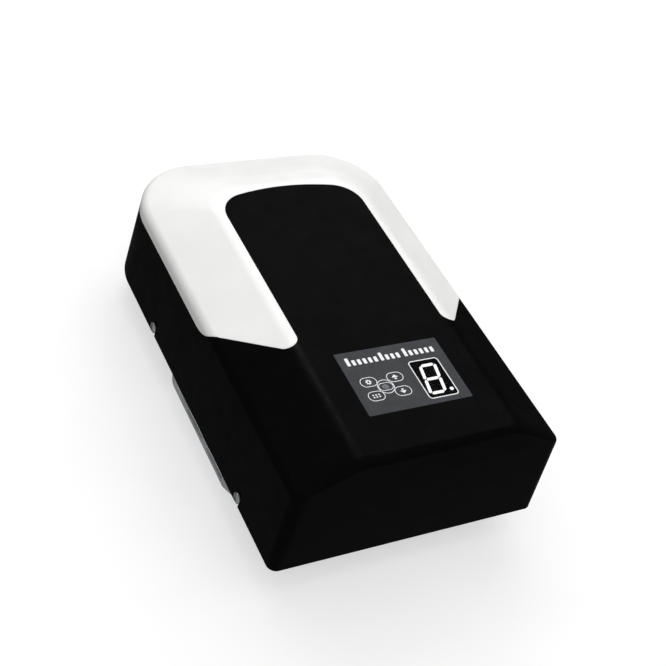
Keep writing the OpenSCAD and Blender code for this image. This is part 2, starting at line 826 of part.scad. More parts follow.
wheel_r = gear_m * wheel_teeth / 2;
wheel_face = 14;
house_r = wheel_r + 7;
house_z0 = plate_top;
house_z1 = axis_z + 18;
cavity_z0 = axis_z - 13;
lug_pos = [for (x = [42.5, -68], y = [-30.5, 30.5]) [x, shaft_y + y * (x > 0 ? 1 : 0.8)]];

module gearbox_plan(grow) {
    translate([0, shaft_y]) circle(r = house_r + grow, $fn = 96);
    translate([worm_x, shaft_y]) square([30 + 2 * grow, 2 * 34 + 2 * grow], center = true);
    translate([worm_x / 2, shaft_y]) square([-worm_x, 68 + 2 * grow], center = true);
}

// Cast housing that holds the worm, its wheel and the output shaft
module gearbox_housing() {
    color([0.6, 0.62, 0.64]) difference() {
        union() {
            translate([0, 0, house_z0]) linear_extrude(height = house_z1 - house_z0)
                gearbox_plan(0);
            for (p = lug_pos) at(p, house_z0) cylinder(r = 6.5, h = 12, $fn = 48);
            on_motor_axis(motor_y1 + 0.1) cylinder(r = 16, h = 16, $fn = 64);
            translate([0, shaft_y, skirt_z - 3]) cylinder(r = 15.7, h = 8, $fn = 64);
        }
        translate([0, shaft_y, cavity_z0]) cylinder(r = wheel_r + 3, h = 60, $fn = 96);
        on_motor_axis(shaft_y - 24) cylinder(r = 11, h = 48, $fn = 64);
        on_motor_axis(motor_y1 - 1) cylinder(r = 8.1, h = shaft_y - 22 - motor_y1, $fn = 48);
        on_motor_axis(shaft_y + 20) cylinder(r = 8.05, h = 20, $fn = 48);
        translate([0, shaft_y, skirt_z - 4]) cylinder(r = 12.05, h = 40, $fn = 64);
        for (p = lug_pos) at(p, house_z0 - 1) cylinder(r = 2.6, h = 14, $fn = 32);
    }
}

module gearbox_cover() {
    color([0.58, 0.6, 0.62]) difference() {
        union() {
            translate([0, 0, house_z1]) linear_extrude(height = 4) gearbox_plan(0);
            translate([0, shaft_y, house_z1]) cylinder(r = 17, h = 12, $fn = 64);
            for (a = [0 : 45 : 315]) translate([0, shaft_y, house_z1]) rotate(a)
                translate([16, -1, 0]) cube([24, 2, 7]);
        }
        translate([0, shaft_y, house_z1 - 1]) cylinder(r = 12.05, h = 10, $fn = 64);
        for (a = [22.5 : 45 : 337.5]) translate([0, shaft_y, house_z1 - 1]) rotate(a)
            translate([house_r - 2.4, 0, 0]) cylinder(r = 1.6, h = 8, $fn = 24);
    }
}

// Screws round the gearbox cover and the four that hold the housing down
module gearbox_screws() {
    color([0.3, 0.3, 0.32]) {
        for (a = [22.5 : 45 : 337.5]) translate([0, shaft_y, house_z1 + 4]) rotate(a)
            translate([house_r - 2.4, 0, 0]) {
                cylinder(r = 2.8, h = 3, $fn = 24);
                translate([0, 0, -4]) cylinder(r = 1.6, h = 4, $fn = 24);
            }
        for (p = lug_pos) at(p, house_z0 + 12) {
            cylinder(r = 4.5, h = 4, $fn = 6);
            translate([0, 0, -12]) cylinder(r = 2.5, h = 12, $fn = 24);
        }
    }
}

// Half angle of a wheel tooth at radius r
tooth_half = 1.2;
function tooth_angle(r) =
    (tooth_half + (wheel_r - r) * flank) / r * 180 / PI;

module wheel_plan() {
    rt = wheel_r + 0.8 * gear_m;
    rb = wheel_r - 1.2 * gear_m;
    polygon([for (i = [0 : wheel_teeth - 1]) let (a = i * 360 / wheel_teeth)
        for (q = [[rb, -1], [rt, -1], [rt, 1], [rb, 1]])
            q[0] * [cos(a + q[1] * tooth_angle(q[0])), sin(a + q[1] * tooth_angle(q[0]))]]);
}

output_r = 8;
lead_angle = atan(gear_m / worm_pd);

module worm_wheel() {
    turn = wheel_face * tan(lead_angle) / wheel_r * 180 / PI;
    color([0.85, 0.82, 0.72]) translate([0, shaft_y, axis_z]) difference() {
        rotate(180 + turn / 2) translate([0, 0, -wheel_face / 2])
            linear_extrude(height = wheel_face, twist = turn, slices = 4) wheel_plan();
        cylinder(r = output_r, h = 40, center = true, $fn = 64);
        for (s = [-1, 1]) translate([0, 0, s * wheel_face / 2]) difference() {
            cylinder(r = 31, h = 6, center = true, $fn = 64);
            cylinder(r = 15, h = 8, center = true, $fn = 64);
        }
    }
}

shaft_low = 4;
shaft_high = house_z1 + 9;

// Stepped output shaft with a flat for the sprocket
module output_shaft() {
    flat_l = 18;
    color([0.75, 0.76, 0.78]) translate([0, shaft_y, 0]) difference() {
        translate([0, 0, shaft_low]) cylinder(r = output_r, h = shaft_high - shaft_low, $fn = 64);
        translate([output_r - 1.5, -10, shaft_low - 1]) cube([10, 20, flat_l]);
        translate([0, 0, shaft_low + 1.5]) difference() {
            cylinder(r = output_r + 1, h = 1.2, $fn = 64);
            translate([0, 0, -1]) cylinder(r = output_r - 0.8, h = 4, $fn = 64);
        }
    }
}

// Two ball bearings on the output shaft: outer rings, balls' track and inner rings in one ring
module shaft_bearings() {
    color([0.8, 0.81, 0.83])
        for (z = [skirt_z + 6, house_z1 + 0.3]) translate([0, shaft_y, z]) difference() {
            cylinder(r = 12, h = 8, $fn = 64);
            translate([0, 0, -1]) cylinder(r = output_r + bore_play, h = 10, $fn = 64);
            for (s = [0, 1]) translate([0, 0, s * 7.2 - (1 - s) * 0.2]) difference() {
                cylinder(r = 10.9, h = 1, $fn = 64);
                translate([0, 0, -1]) cylinder(r = 9.2, h = 3, $fn = 64);
            }
        }
}

module worm_bearings() {
    color([0.8, 0.81, 0.83])
        for (y = [motor_y0 - 9, motor_y1 - 2, shaft_y + 25]) on_motor_axis(y) difference() {
            cylinder(r = 8, h = 5, $fn = 48);
            translate([0, 0, -1]) cylinder(r = shaft_r + bore_play, h = 8, $fn = 48);
        }
}

sprocket_pitch = 9.525;
sprocket_z = shaft_low + 3;
sprocket_t = 5;

// Chain sprocket keyed to the shaft's flat
module drive_sprocket() {
    pr = sprocket_pitch / 2 / sin(180 / sprocket_teeth);
    roller = 3.2;
    color([0.5, 0.51, 0.53]) translate([0, shaft_y, sprocket_z]) difference() {
        union() {
            cylinder(r = pr + 2.4, h = sprocket_t, $fn = 96);
            cylinder(r = 11.5, h = sprocket_t + 6, $fn = 64);
        }
        for (i = [0 : sprocket_teeth - 1]) rotate(i * 360 / sprocket_teeth)
            translate([pr, 0, -1]) cylinder(r = roller, h = sprocket_t + 2, $fn = 32);
        intersection() {
            translate([0, 0, -1]) cylinder(r = output_r, h = 30, $fn = 64);
            translate([-20, -20, -1]) cube([20 + output_r - 1.5, 40, 30]);
        }
    }
}

module sprocket_circlip() {
    color([0.3, 0.3, 0.32]) translate([0, shaft_y, shaft_low + 1.6]) difference() {
        cylinder(r = output_r + 2, h = 1, $fn = 64);
        translate([0, 0, -1]) cylinder(r = output_r - 0.7, h = 3, $fn = 64);
        translate([0, -2, -1]) cube([20, 4, 3]);
    }
}

// Appliance inlet with its three blades
module mains_inlet() {
    w = 27;
    h = 19.5;
    deep = 18;
    color([0.07, 0.07, 0.07]) translate([inlet_x, 0, inlet_z]) {
        difference() {
            union() {
                translate([-w / 2, panel_face - deep, -h / 2]) cube([w, deep + 1, h]);
                translate([-inlet_w / 2, panel_face, -inlet_h / 2]) cube([inlet_w, 2.6, inlet_h]);
            }
            translate([-w / 2 + 1.6, panel_face - deep + 3, -h / 2 + 1.6])
                cube([w - 3.2, deep + 10, h - 3.2]);
        }
        for (q = [[-7, 2], [0, -2], [7, 2]])
            translate([q[0] - 1, panel_face - deep + 2, q[1] - 2]) cube([2, 13, 4]);
    }
}

lamp_x = 96;
lamp_y0 = 2;
lamp_l = 118;
lamp_z = skirt_z + 62;

module lamp_bracket(side) {
    color([0.72, 0.74, 0.76])
        for (y = [lamp_y0 + 10, lamp_y0 + lamp_l - 20]) translate([side * lamp_x, y, 0]) {
            translate([-1, 0, plate_top]) cube([2, 10, lamp_z - plate_top + 20]);
            translate([side > 0 ? -12 : 0, 0, plate_top]) cube([12, 10, 1.5]);
        }
}
module lamp_bracket_left() { lamp_bracket(-1); }
module lamp_bracket_right() { lamp_bracket(1); }

// One upright strip of lamp board on each side
module lamp_boards() {
    color([0.9, 0.9, 0.88])
        for (s = [-1, 1]) translate([s * (lamp_x + 1.8) - 0.8, lamp_y0, lamp_z - 2])
            cube([1.6, lamp_l, 22]);
}

module lamp_leds() {
    color([0.95, 0.9, 0.5])
        for (s = [-1, 1], i = [0 : 7])
            translate([s * (lamp_x + 2.6) - (s > 0 ? 0 : 1), lamp_y0 + 8 + i * 14, lamp_z + 6])
                cube([1, 5, 5]);
}

// Bundled motor leads from the brush end to the board
module motor_leads() {
    color([0.6, 0.1, 0.1])
        for (s = [-1, 1]) {
            translate([worm_x + s * 22, motor_y0 - 22, axis_z - 12])
                rotate([-90, 0, 0]) cylinder(r = 1.5, h = 12, $fn = 20);
            translate([worm_x + s * 22, motor_y0 - 22, main_z + board_t])
                cylinder(r = 1.5, h = axis_z - 12 - main_z - board_t, $fn = 20);
            translate([worm_x + s * 22, motor_y0 - 22, axis_z - 12]) sphere(r = 1.5, $fn = 20);
        }
}

top_cover();
lamp_lens();
base_plate();
hanging_bracket_left();
hanging_bracket_right();
bracket_bolts();
cover_screws();
rail_clamp_front();
rail_clamp_rear();
rail_clamp_bolts();
control_label();
display_window();
display_module();
display_segments();
keypad_board();
keypad_screws();
tact_switches();
light_pipe();
key_set();
key_up();
key_code();
key_down();
main_board();
board_standoffs();
board_screws();
relays();
smoothing_capacitor();
terminal_block();
fuse_holder();
radio_module();
logic_chips();
ribbon_cable();
transformer_core();
transformer_windings();
transformer_frame();
transformer_screws();
motor_can();
motor_magnets();
motor_end_cap();
motor_brushes();
motor_armature();
commutator();
worm_shaft();
encoder_magnet();
hall_sensor_board();
gearbox_housing();
gearbox_cover();
gearbox_screws();
worm_wheel();
output_shaft();
shaft_bearings();
worm_bearings();
drive_sprocket();
sprocket_circlip();
mains_inlet();
lamp_bracket_left();
lamp_bracket_right();
lamp_boards();
lamp_leds();
motor_leads();
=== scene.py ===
"""Looks of the garage door opener head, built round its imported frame. Lengths are in millimetres until
a mesh is made, and then in metres."""
import json
import math
from math import cos, pi, radians, sin, sqrt, tan

import bmesh
import bpy
from mathutils import Matrix, Vector
from mathutils.geometry import tessellate_polygon


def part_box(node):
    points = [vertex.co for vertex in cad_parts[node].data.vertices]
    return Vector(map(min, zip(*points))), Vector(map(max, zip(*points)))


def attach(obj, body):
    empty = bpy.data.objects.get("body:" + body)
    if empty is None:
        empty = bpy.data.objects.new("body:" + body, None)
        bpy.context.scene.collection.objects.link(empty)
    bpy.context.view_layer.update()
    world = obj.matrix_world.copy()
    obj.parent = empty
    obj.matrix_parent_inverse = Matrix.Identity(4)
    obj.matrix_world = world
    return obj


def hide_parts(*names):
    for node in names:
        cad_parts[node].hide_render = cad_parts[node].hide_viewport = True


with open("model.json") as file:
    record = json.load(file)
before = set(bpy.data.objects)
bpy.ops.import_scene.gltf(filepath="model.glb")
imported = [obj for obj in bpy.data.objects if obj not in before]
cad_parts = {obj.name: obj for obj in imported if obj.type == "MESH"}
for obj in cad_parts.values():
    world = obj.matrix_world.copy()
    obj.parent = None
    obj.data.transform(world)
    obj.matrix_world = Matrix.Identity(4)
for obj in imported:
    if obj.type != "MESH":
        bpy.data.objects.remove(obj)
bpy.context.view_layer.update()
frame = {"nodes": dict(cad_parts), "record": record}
MM = 0.001


# ---------------------------------------------------------------- sizes

def corners(node):
    """Lowest and highest corner of a CAD node, in millimetres."""
    low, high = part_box(node)
    return low / MM, high / MM


def middle(low, high):
    """Middle of a box in plan."""
    return (low.x + high.x) / 2, (low.y + high.y) / 2


hood_low, hood_high = corners("top_cover")
label_low, label_high = corners("control_label")
window_low, window_high = corners("display_window")
pipe_low, pipe_high = corners("light_pipe")
inlet_low, inlet_high = corners("mains_inlet")

SKIRT_Z = hood_low.z
TOP_Z = hood_high.z
FRONT_Y = hood_low.y
REAR_Y = hood_high.y
HALF_W = hood_high.x
SHOULDER_Z = SKIRT_Z + 79
SHOULDER_R = 10.6
SHOULDER_CORNER_R = 11
LEAST_CORNER_R = 4
DRAFT = 3.5
FRONT_DRAFT = 1
FRONT_R = 8
REAR_R = 61
HOOD_WALL = 2.8
PLATEAU_HALF = 72
PLATEAU_END = 320
PLATEAU_R = 33
PLATEAU_FRONT_R = 5
FRONT_EDGE_R = 8
RIDGE_R = 26
SIDE_SLOPE = math.atan(1 / 1.665)
REAR_SLOPE = math.atan(1 / 2.9)

LENS_EDGE_Z = SKIRT_Z + 73.4
LENS_WALL = 2.4
LENS_GAP = 0.3
TONGUE_HALF = 67.2
TONGUE_END = 315.2
TONGUE_R = 27
CROWN_R = 204

KEY_W = 13.4
KEY_D = 8.6
KEY_GAP = 0.3
PRINT_T = 0.06
BEYOND = 20  # how far a cutter reaches past the part


def from_front(d):
    """Y at the distance d behind the hood's front."""
    return FRONT_Y + d


# ---------------------------------------------------------------- mesh helpers

def placed(name, data):
    """A new object in the scene."""
    obj = bpy.data.objects.new(name, data)
    bpy.context.scene.collection.objects.link(obj)
    return obj


def piece(name, verts, faces, body="head", smooth=35, matrix=None):
    """A mesh object from points in millimetres, riding on a body."""
    mesh = bpy.data.meshes.new(name)
    scaled = [Vector(v) * MM for v in verts]
    if matrix:
        scaled = [matrix @ v for v in scaled]
    mesh.from_pydata(scaled, [], faces)
    mesh.validate()
    obj = placed(name, mesh)
    tidy_normals(obj)
    if smooth:
        shade(obj, smooth)
    if body:
        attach(obj, body)
    return obj


def tidy_normals(obj):
    """Merges doubled points and turns every face outward."""
    bm = bmesh.new()
    bm.from_mesh(obj.data)
    bmesh.ops.remove_doubles(bm, verts=bm.verts, dist=1e-7)
    bmesh.ops.recalc_face_normals(bm, faces=bm.faces)
    bm.to_mesh(obj.data)
    bm.free()


def shade(obj, angle):
    """Smooth shading, with edges over the angle kept sharp."""
    for face in obj.data.polygons:
        face.use_smooth = True
    obj.data.set_sharp_from_angle(angle=radians(angle))
    mod = obj.modifiers.new("weighted", "WEIGHTED_NORMAL")
    mod.keep_sharp = True
    mod.weight = 80


def applied(obj):
    """Applies the object's modifiers to its mesh."""
    graph = bpy.context.evaluated_depsgraph_get()
    mesh = bpy.data.meshes.new_from_object(obj.evaluated_get(graph), depsgraph=graph)
    old = obj.data
    obj.modifiers.clear()
    obj.data = mesh
    bpy.data.meshes.remove(old)


def cut(obj, cutter, operation="DIFFERENCE"):
    """Boolean of obj with a cutter, applied at once."""
    mod = obj.modifiers.new("cut", "BOOLEAN")
    mod.object = cutter
    mod.operation = operation
    mod.solver = "EXACT"
    applied(obj)
    bpy.data.objects.remove(cutter)


def bevelled(obj, width, segments=2, angle=40):
    """Rounds the edges that are sharper than the angle."""
    mod = obj.modifiers.new("bevel", "BEVEL")
    mod.width = width * MM
    mod.segments = segments
    mod.limit_method = "ANGLE"
    mod.angle_limit = radians(angle)
    mod.use_clamp_overlap = True
    applied(obj)


def arc(cx, cy, r, a0, a1, steps):
    """Points of an arc; angles in degrees."""
    turn = [radians(a0 + (a1 - a0) * i / steps) for i in range(steps + 1)]
    return [(cx + r * cos(a), cy + r * sin(a)) for a in turn]


def rounded(cx, cy, w, d, r, steps=8):
    """Outline of a rounded rectangle."""
    x, y = w / 2 - r, d / 2 - r
    spots = ((x, -y, -90), (x, y, 0), (-x, y, 90), (-x, -y, 180))
    return [p for sx, sy, a in spots for p in arc(cx + sx, cy + sy, r, a, a + 90, steps)]


def stadium(cx, cy, w, d, steps=20):
    """Outline of an oval with straight sides."""
    r = d / 2
    x = w / 2 - r
    return arc(cx + x, cy, r, -90, 90, steps) + arc(cx - x, cy, r, 90, 270, steps)


def circle(cx, cy, r, steps=48):
    return arc(cx, cy, r, 0, 360, steps)[:-1]


def area(loop):
    """Signed area of a closed outline."""
    return sum(a[0] * b[1] - b[0] * a[1] for a, b in zip(loop, loop[1:] + loop[:1])) / 2


def grown(loop, by):
    """The outline moved outward, seen from its own inside, by a small distance."""
    def outward(edge):
        return Vector((edge.y, -edge.x)).normalized() if edge.length > 1e-9 else Vector((0, 0))

    side = 1 if area(loop) > 0 else -1
    result = []
    for i, p in enumerate(loop):
        a, b = Vector(loop[i - 1]), Vector(loop[(i + 1) % len(loop)])
        here = Vector(p)
        n1, n2 = outward(here - a), outward(b - here)
        mid = n1 + n2
        if mid.length < 1e-6:
            result.append(p)
            continue
        mid.normalize()
        lean = max(mid.dot(n1 if n1.length else n2), 0.5)
        result.append(tuple(here + mid * (side * by / lean)))
    return result


def band_faces(rings, n, first=0):
    """Quads between successive rings of n points."""
    faces = []
    for row in range(rings - 1):
        for i in range(n):
            a = first + row * n + i
            b = first + row * n + (i + 1) % n
            faces.append((a, b, b + n, a + n))
    return faces


def plate_mesh(loops, z0, z1, bevel=0.0, steps=2):
    """Points and faces of a flat plate. The first loop is its outline and the rest are holes. The upper
    and lower edges are rounded by bevel."""
    if bevel:
        low = [(z0 + bevel * (1 - cos(pi / 2 * i / steps)), bevel * (1 - sin(pi / 2 * i / steps)))
               for i in range(steps + 1)]
        high = [(z1 - (z - z0), b) for z, b in reversed(low)]
        levels = low + high
    else:
        levels = [(z0, 0.0), (z1, 0.0)]
    verts = []
    faces = []
    rims = []
    for k, loop in enumerate(loops):
        first = len(verts)
        n = len(loop)
        for z, inset in levels:
            shifted = grown(loop, -inset if k == 0 else inset) if inset else loop
            verts += [(x, y, z) for x, y in shifted]
        faces += band_faces(len(levels), n, first)
        rims.append((first, n))
    for top in (False, True):
        shift = (len(levels) - 1) if top else 0
        index = [first + shift * n + i for first, n in rims for i in range(n)]
        outlines = [[Vector(verts[first + shift * n + i]) for i in range(n)] for first, n in rims]
        for tri in tessellate_polygon(outlines):
            faces.append(tuple(index[i] for i in tri))
    return verts, faces


def plate(name, loops, z0, z1, bevel=0.0, body="head", matrix=None, steps=2):
    verts, faces = plate_mesh(loops, z0, z1, bevel, steps)
    return piece(name, verts, faces, body, matrix=matrix)


def joined_plates(name, plates, body="head", matrix=None):
    """One piece from several plates, each given as (loops, z0, z1, bevel)."""
    verts, faces = gathered([plate_mesh(*item) for item in plates])
    return piece(name, verts, faces, body, matrix=matrix)


def solid(name, plates, matrix=None):
    """Plain plates for boolean work."""
    obj = joined_plates(name, plates, body=None, matrix=matrix)
    obj.modifiers.clear()
    return obj


def ring(loop, width):
    """An outline and its inner copy, which make a printed line."""
    return [grown(loop, width / 2), grown(loop, -width / 2)]


def line(x0, y0, x1, y1, width):
    """A straight printed line with round ends."""
    angle = math.degrees(math.atan2(y1 - y0, x1 - x0))
    r = width / 2
    return [arc(x1, y1, r, angle - 90, angle + 90, 6) + arc(x0, y0, r, angle + 90, angle + 270, 6)]


def lathe_mesh(profile, centre, steps=48):
    """Points and faces of a solid of revolution about Z; the profile is (radius, height)."""
    verts = []
    faces = []
    rows = []
    for r, z in profile:
        count = 1 if r < 1e-6 else steps
        rows.append(list(range(len(verts), len(verts) + count)))
        for i in range(count):
            a = 2 * pi * i / steps
            verts.append((centre[0] + r * cos(a), centre[1] + r * sin(a), centre[2] + z))
    for low, high in zip(rows, rows[1:]):
        for i in range(steps):
            a, b = low[i % len(low)], low[(i + 1) % len(low)]
            c, d = high[(i + 1) % len(high)], high[i % len(high)]
            face = tuple(dict.fromkeys((a, b, c, d)))
            if len(face) > 2:
                faces.append(face)
    faces += [tuple(row) for row in (rows[0], rows[-1]) if len(row) > 1]
    return verts, faces


def hexagon_mesh(centre, face_z, base_z, across, steps=8):
    """A hexagon head or nut whose face at face_z has the usual turned chamfer."""
    half = across / 2
    turned = half * 0.95
    way = 1 if base_z > face_z else -1
    rings = [[], [], []]
    for i in range(6 * steps):
        a = pi / 3 * i / steps
        reach = half / cos(a % (pi / 3) - pi / 6)
        x, y = cos(a), sin(a)
        chamfer = face_z + way * (reach - turned) * tan(pi / 6)
        rings[0].append((centre[0] + turned * x, centre[1] + turned * y, face_z))
        rings[1].append((centre[0] + reach * x, centre[1] + reach * y, chamfer))
        rings[2].append((centre[0] + reach * x, centre[1] + reach * y, base_z))
    n = 6 * steps
    faces = [tuple(range(n)), tuple(range(2 * n, 3 * n))] + band_faces(3, n)
    return rings[0] + rings[1] + rings[2], faces


def gathered(meshes):
    """Several sets of points and faces as one."""
    verts = []
    faces = []
    for more_verts, more_faces in meshes:
        faces += [tuple(i + len(verts) for i in face) for face in more_faces]
        verts += more_verts
    return verts, faces


AXIS_X = Matrix(((0, 0, 1, 0), (1, 0, 0, 0), (0, 1, 0, 0), (0, 0, 0, 1)))
AXIS_Y = Matrix(((1, 0, 0, 0), (0, 0, -1, 0), (0, 1, 0, 0), (0, 0, 0, 1)))


# ---------------------------------------------------------------- materials

class Nodes:
    """A short way to write a node material."""

    def __init__(self, name, colour, roughness, metallic=0.0, **fixed):
        self.material = bpy.data.materials.new(name)
        self.material.use_nodes = True
        self.material.diffuse_color = (*colour, 1)
        self.tree = self.material.node_tree
        self.shader = self.tree.nodes["Principled BSDF"]
        self.set("Base Color", (*colour, 1))
        self.set("Roughness", roughness)
        self.set("Metallic", metallic)
        for key, value in fixed.items():
            self.set(key.replace("_", " "), value)
        self.place = self.tree.nodes.new("ShaderNodeTexCoord").outputs["Object"]
        self.bump = None

    def set(self, socket, value):
        self.shader.inputs[socket].default_value = value

    def link(self, output, target):
        self.tree.links.new(output, target)

    def noise(self, size, detail=3.0, rough=0.55, stretch=(1, 1, 1)):
        """Noise whose grains are about size millimetres across."""
        mapping = self.tree.nodes.new("ShaderNodeMapping")
        mapping.inputs["Scale"].default_value = stretch
        self.link(self.place, mapping.inputs["Vector"])
        node = self.tree.nodes.new("ShaderNodeTexNoise")
        node.inputs["Scale"].default_value = 1 / (size * MM)
        node.inputs["Detail"].default_value = detail
        node.inputs["Roughness"].default_value = rough
        self.link(mapping.outputs["Vector"], node.inputs["Vector"])
        return node.outputs["Fac"]

    def cells(self, size, feature="F1", output="Distance"):
        node = self.tree.nodes.new("ShaderNodeTexVoronoi")
        node.feature = feature
        node.inputs["Scale"].default_value = 1 / (size * MM)
        self.link(self.place, node.inputs["Vector"])
        return node.outputs[output]

    def bands(self, size, direction="X"):
        node = self.tree.nodes.new("ShaderNodeTexWave")
        node.bands_direction = direction
        node.inputs["Scale"].default_value = 0.314 / (size * MM)
        node.inputs["Distortion"].default_value = 0.0
        self.link(self.place, node.inputs["Vector"])
        return node.outputs["Fac"]

    def ramp(self, value, low, high, start=0.35, end=0.65):
        """The value stretched to run from low to high."""
        node = self.tree.nodes.new("ShaderNodeMapRange")
        node.inputs["From Min"].default_value = start
        node.inputs["From Max"].default_value = end
        node.inputs["To Min"].default_value = low
        node.inputs["To Max"].default_value = high
        self.link(value, node.inputs["Value"])
        return node.outputs["Result"]

    def mix(self, fac, a, b):
        node = self.tree.nodes.new("ShaderNodeMix")
        node.data_type = "RGBA"
        self.link(fac, node.inputs[0])
        for socket, colour in ((node.inputs[6], a), (node.inputs[7], b)):
            if isinstance(colour, tuple):
                socket.default_value = (*colour, 1)
            else:
                self.link(colour, socket)
        return node.outputs[2]

    def colour(self, value):
        self.link(value, self.shader.inputs["Base Color"])
        return self

    def rough(self, value):
        self.link(value, self.shader.inputs["Roughness"])
        return self

    def clouds(self, size, detail, dark, light, rough=0.55):
        """Colour that drifts between two tones, in patches about size millimetres across."""
        return self.colour(self.mix(self.ramp(self.noise(size, detail, rough), 0, 1), dark, light))

    def sheen(self, size, detail, low, high, rough=0.55, stretch=(1, 1, 1)):
        """Roughness that drifts between two values."""
        return self.rough(self.ramp(self.noise(size, detail, rough, stretch), low, high))

    def raise_by(self, value, height):
        """Adds bump of about height millimetres."""
        node = self.tree.nodes.new("ShaderNodeBump")
        node.inputs["Distance"].default_value = height * MM
        self.link(value, node.inputs["Height"])
        if self.bump:
            self.link(self.bump, node.inputs["Normal"])
        self.bump = node.outputs["Normal"]
        self.link(self.bump, self.shader.inputs["Normal"])
        return self


def shades(colour, spread):
    """A darker and a lighter tone of a colour."""
    return tuple(c * (1 - spread) for c in colour), tuple(min(c * (1 + spread), 1) for c in colour)


def moulded(name, colour, rough=0.4, grain=0.6, height=0.012, spread=0.15, **fixed):
    """Moulded plastic: fine spark grain, cloudy tone and a little uneven gloss."""
    m = Nodes(name, colour, rough, **fixed)
    dark, light = shades(colour, spread)
    m.clouds(28, 4, dark, light)
    m.sheen(9, 5, rough - 0.06, rough + 0.08)
    m.raise_by(m.noise(grain, 2), height)
    return m.material


def metal(name, colour, rough=0.35, streak=(1, 1, 1), height=0.01, spread=0.12, size=6):
    """Bare metal with drawing or grinding streaks."""
    m = Nodes(name, colour, rough, metallic=1.0)
    dark, light = shades(colour, spread)
    m.clouds(size * 3, 5, dark, light)
    m.sheen(size, 4, rough - 0.1, rough + 0.12, stretch=streak)
    m.raise_by(m.noise(size * 0.15, 3, stretch=streak), height)
    return m.material


def galvanised(name):
    """Zinc-coated sheet: crystal spangle in tone and gloss, with a dull film."""
    m = Nodes(name, (0.78, 0.80, 0.82), 0.4, metallic=0.8)
    spangle = m.cells(7, output="Color")
    split = m.tree.nodes.new("ShaderNodeSeparateColor")
    m.link(spangle, split.inputs[0])
    tone = m.mix(m.ramp(split.outputs[0], 0, 1, 0, 1), (0.70, 0.72, 0.74), (0.86, 0.88, 0.90))
    m.colour(m.mix(m.ramp(m.noise(40, 5), 0, 0.5), tone, (0.60, 0.61, 0.62)))
    m.rough(m.ramp(split.outputs[1], 0.30, 0.52, 0, 1))
    m.raise_by(m.noise(0.9, 3), 0.01)
    return m.material


HOOD_SPECULAR = 0.02


def hood_plastic():
    """Near-black satin ABS with a spark-eroded grain, faint cloudiness and rubbed patches."""
    m = Nodes("hood_plastic", (0.002, 0.002, 0.0021), 0.34, Specular_IOR_Level=HOOD_SPECULAR)
    cloudy = m.ramp(m.noise(45, 5, 0.6), 0, 1)
    m.colour(m.mix(cloudy, (0.0017, 0.0017, 0.0018), (0.0024, 0.0024, 0.0025)))
    m.sheen(14, 6, 0.27, 0.43, 0.65)
    m.raise_by(m.cells(0.55, "SMOOTH_F1"), 0.006)
    m.raise_by(m.noise(70, 2), 0.05)
    return m.material


def opal_plastic():
    """Opal diffuser: milky, slightly translucent, with a fine satin skin."""
    m = Nodes("opal_plastic", (0.86, 0.86, 0.84), 0.42, Subsurface_Weight=0.35,
              Subsurface_Scale=0.004, Specular_IOR_Level=0.35)
    m.set("Subsurface Radius", (1.0, 1.0, 0.9))
    m.clouds(60, 4, (0.84, 0.84, 0.822), (0.88, 0.88, 0.866))
    m.sheen(12, 5, 0.36, 0.5)
    m.raise_by(m.noise(0.5, 2), 0.006)
    return m.material


def label_print():
    """Printed polyester label: slate ground with a faint mottle and a fine matt texture."""
    m = Nodes("label_print", (0.042, 0.044, 0.050), 0.5, Specular_IOR_Level=0.25)
    m.clouds(11, 5, (0.032, 0.034, 0.039), (0.042, 0.044, 0.0495), 0.65)
    m.sheen(3, 4, 0.44, 0.6)
    m.raise_by(m.cells(0.35), 0.004)
    return m.material


def ink():
    """White screen ink, slightly uneven where it thins."""
    m = Nodes("white_ink", (0.86, 0.86, 0.86), 0.55, Specular_IOR_Level=0.2)
    m.clouds(0.7, 4, (0.74, 0.75, 0.76), (0.90, 0.90, 0.90))
    m.sheen(1.5, 3, 0.48, 0.66)
    m.raise_by(m.noise(0.3, 2), 0.004)
    return m.material


def lit_segment():
    """Lit LED bar behind its diffuser."""
    m = Nodes("lit_segment", (0.9, 0.9, 0.9), 0.5, Emission_Strength=0.9)
    tone = m.mix(m.ramp(m.noise(4, 3), 0, 1), (0.86, 0.87, 0.88), (1.0, 1.0, 1.0))
    m.colour(tone)
    m.link(tone, m.shader.inputs["Emission Color"])
    m.sheen(1.2, 3, 0.42, 0.6)
    m.raise_by(m.noise(0.4, 2), 0.006)
    return m.material


def smoked():
    """Smoked acrylic window, see-through, with faint wiping marks in its gloss."""
    m = Nodes("smoked_acrylic", (0.004, 0.004, 0.004), 0.12, Alpha=0.15, Specular_IOR_Level=0.05)
    m.clouds(9, 3, (0.003, 0.003, 0.003), (0.006, 0.006, 0.007))
    m.sheen(5, 6, 0.07, 0.2, stretch=(1, 0.2, 1))
    m.raise_by(m.noise(12, 2), 0.01)
    return m.material


def circuit(name, mask=(0.012, 0.10, 0.045)):
    """Solder mask over copper tracks, with tinned pads."""
    m = Nodes(name, mask, 0.35, Specular_IOR_Level=0.5)
    track = m.ramp(m.cells(5.5, "DISTANCE_TO_EDGE"), 1, 0, 0.03, 0.06)
    pad = m.ramp(m.cells(4.2), 1, 0, 0.10, 0.13)
    light = tuple(c * 1.7 for c in mask)
    m.colour(m.mix(pad, m.mix(track, mask, light), (0.55, 0.54, 0.50)))
    m.sheen(7, 4, 0.28, 0.45)
    m.raise_by(track, 0.03)
    return m.material


def laminations():
    """Edges of stacked transformer sheets."""
    m = Nodes("lamination_steel", (0.16, 0.16, 0.17), 0.5, metallic=0.8)
    stack = m.bands(0.5, "Y")
    m.colour(m.mix(stack, (0.09, 0.09, 0.095), (0.24, 0.24, 0.25)))
    m.sheen(6, 5, 0.4, 0.62)
    m.raise_by(stack, 0.04)
    return m.material


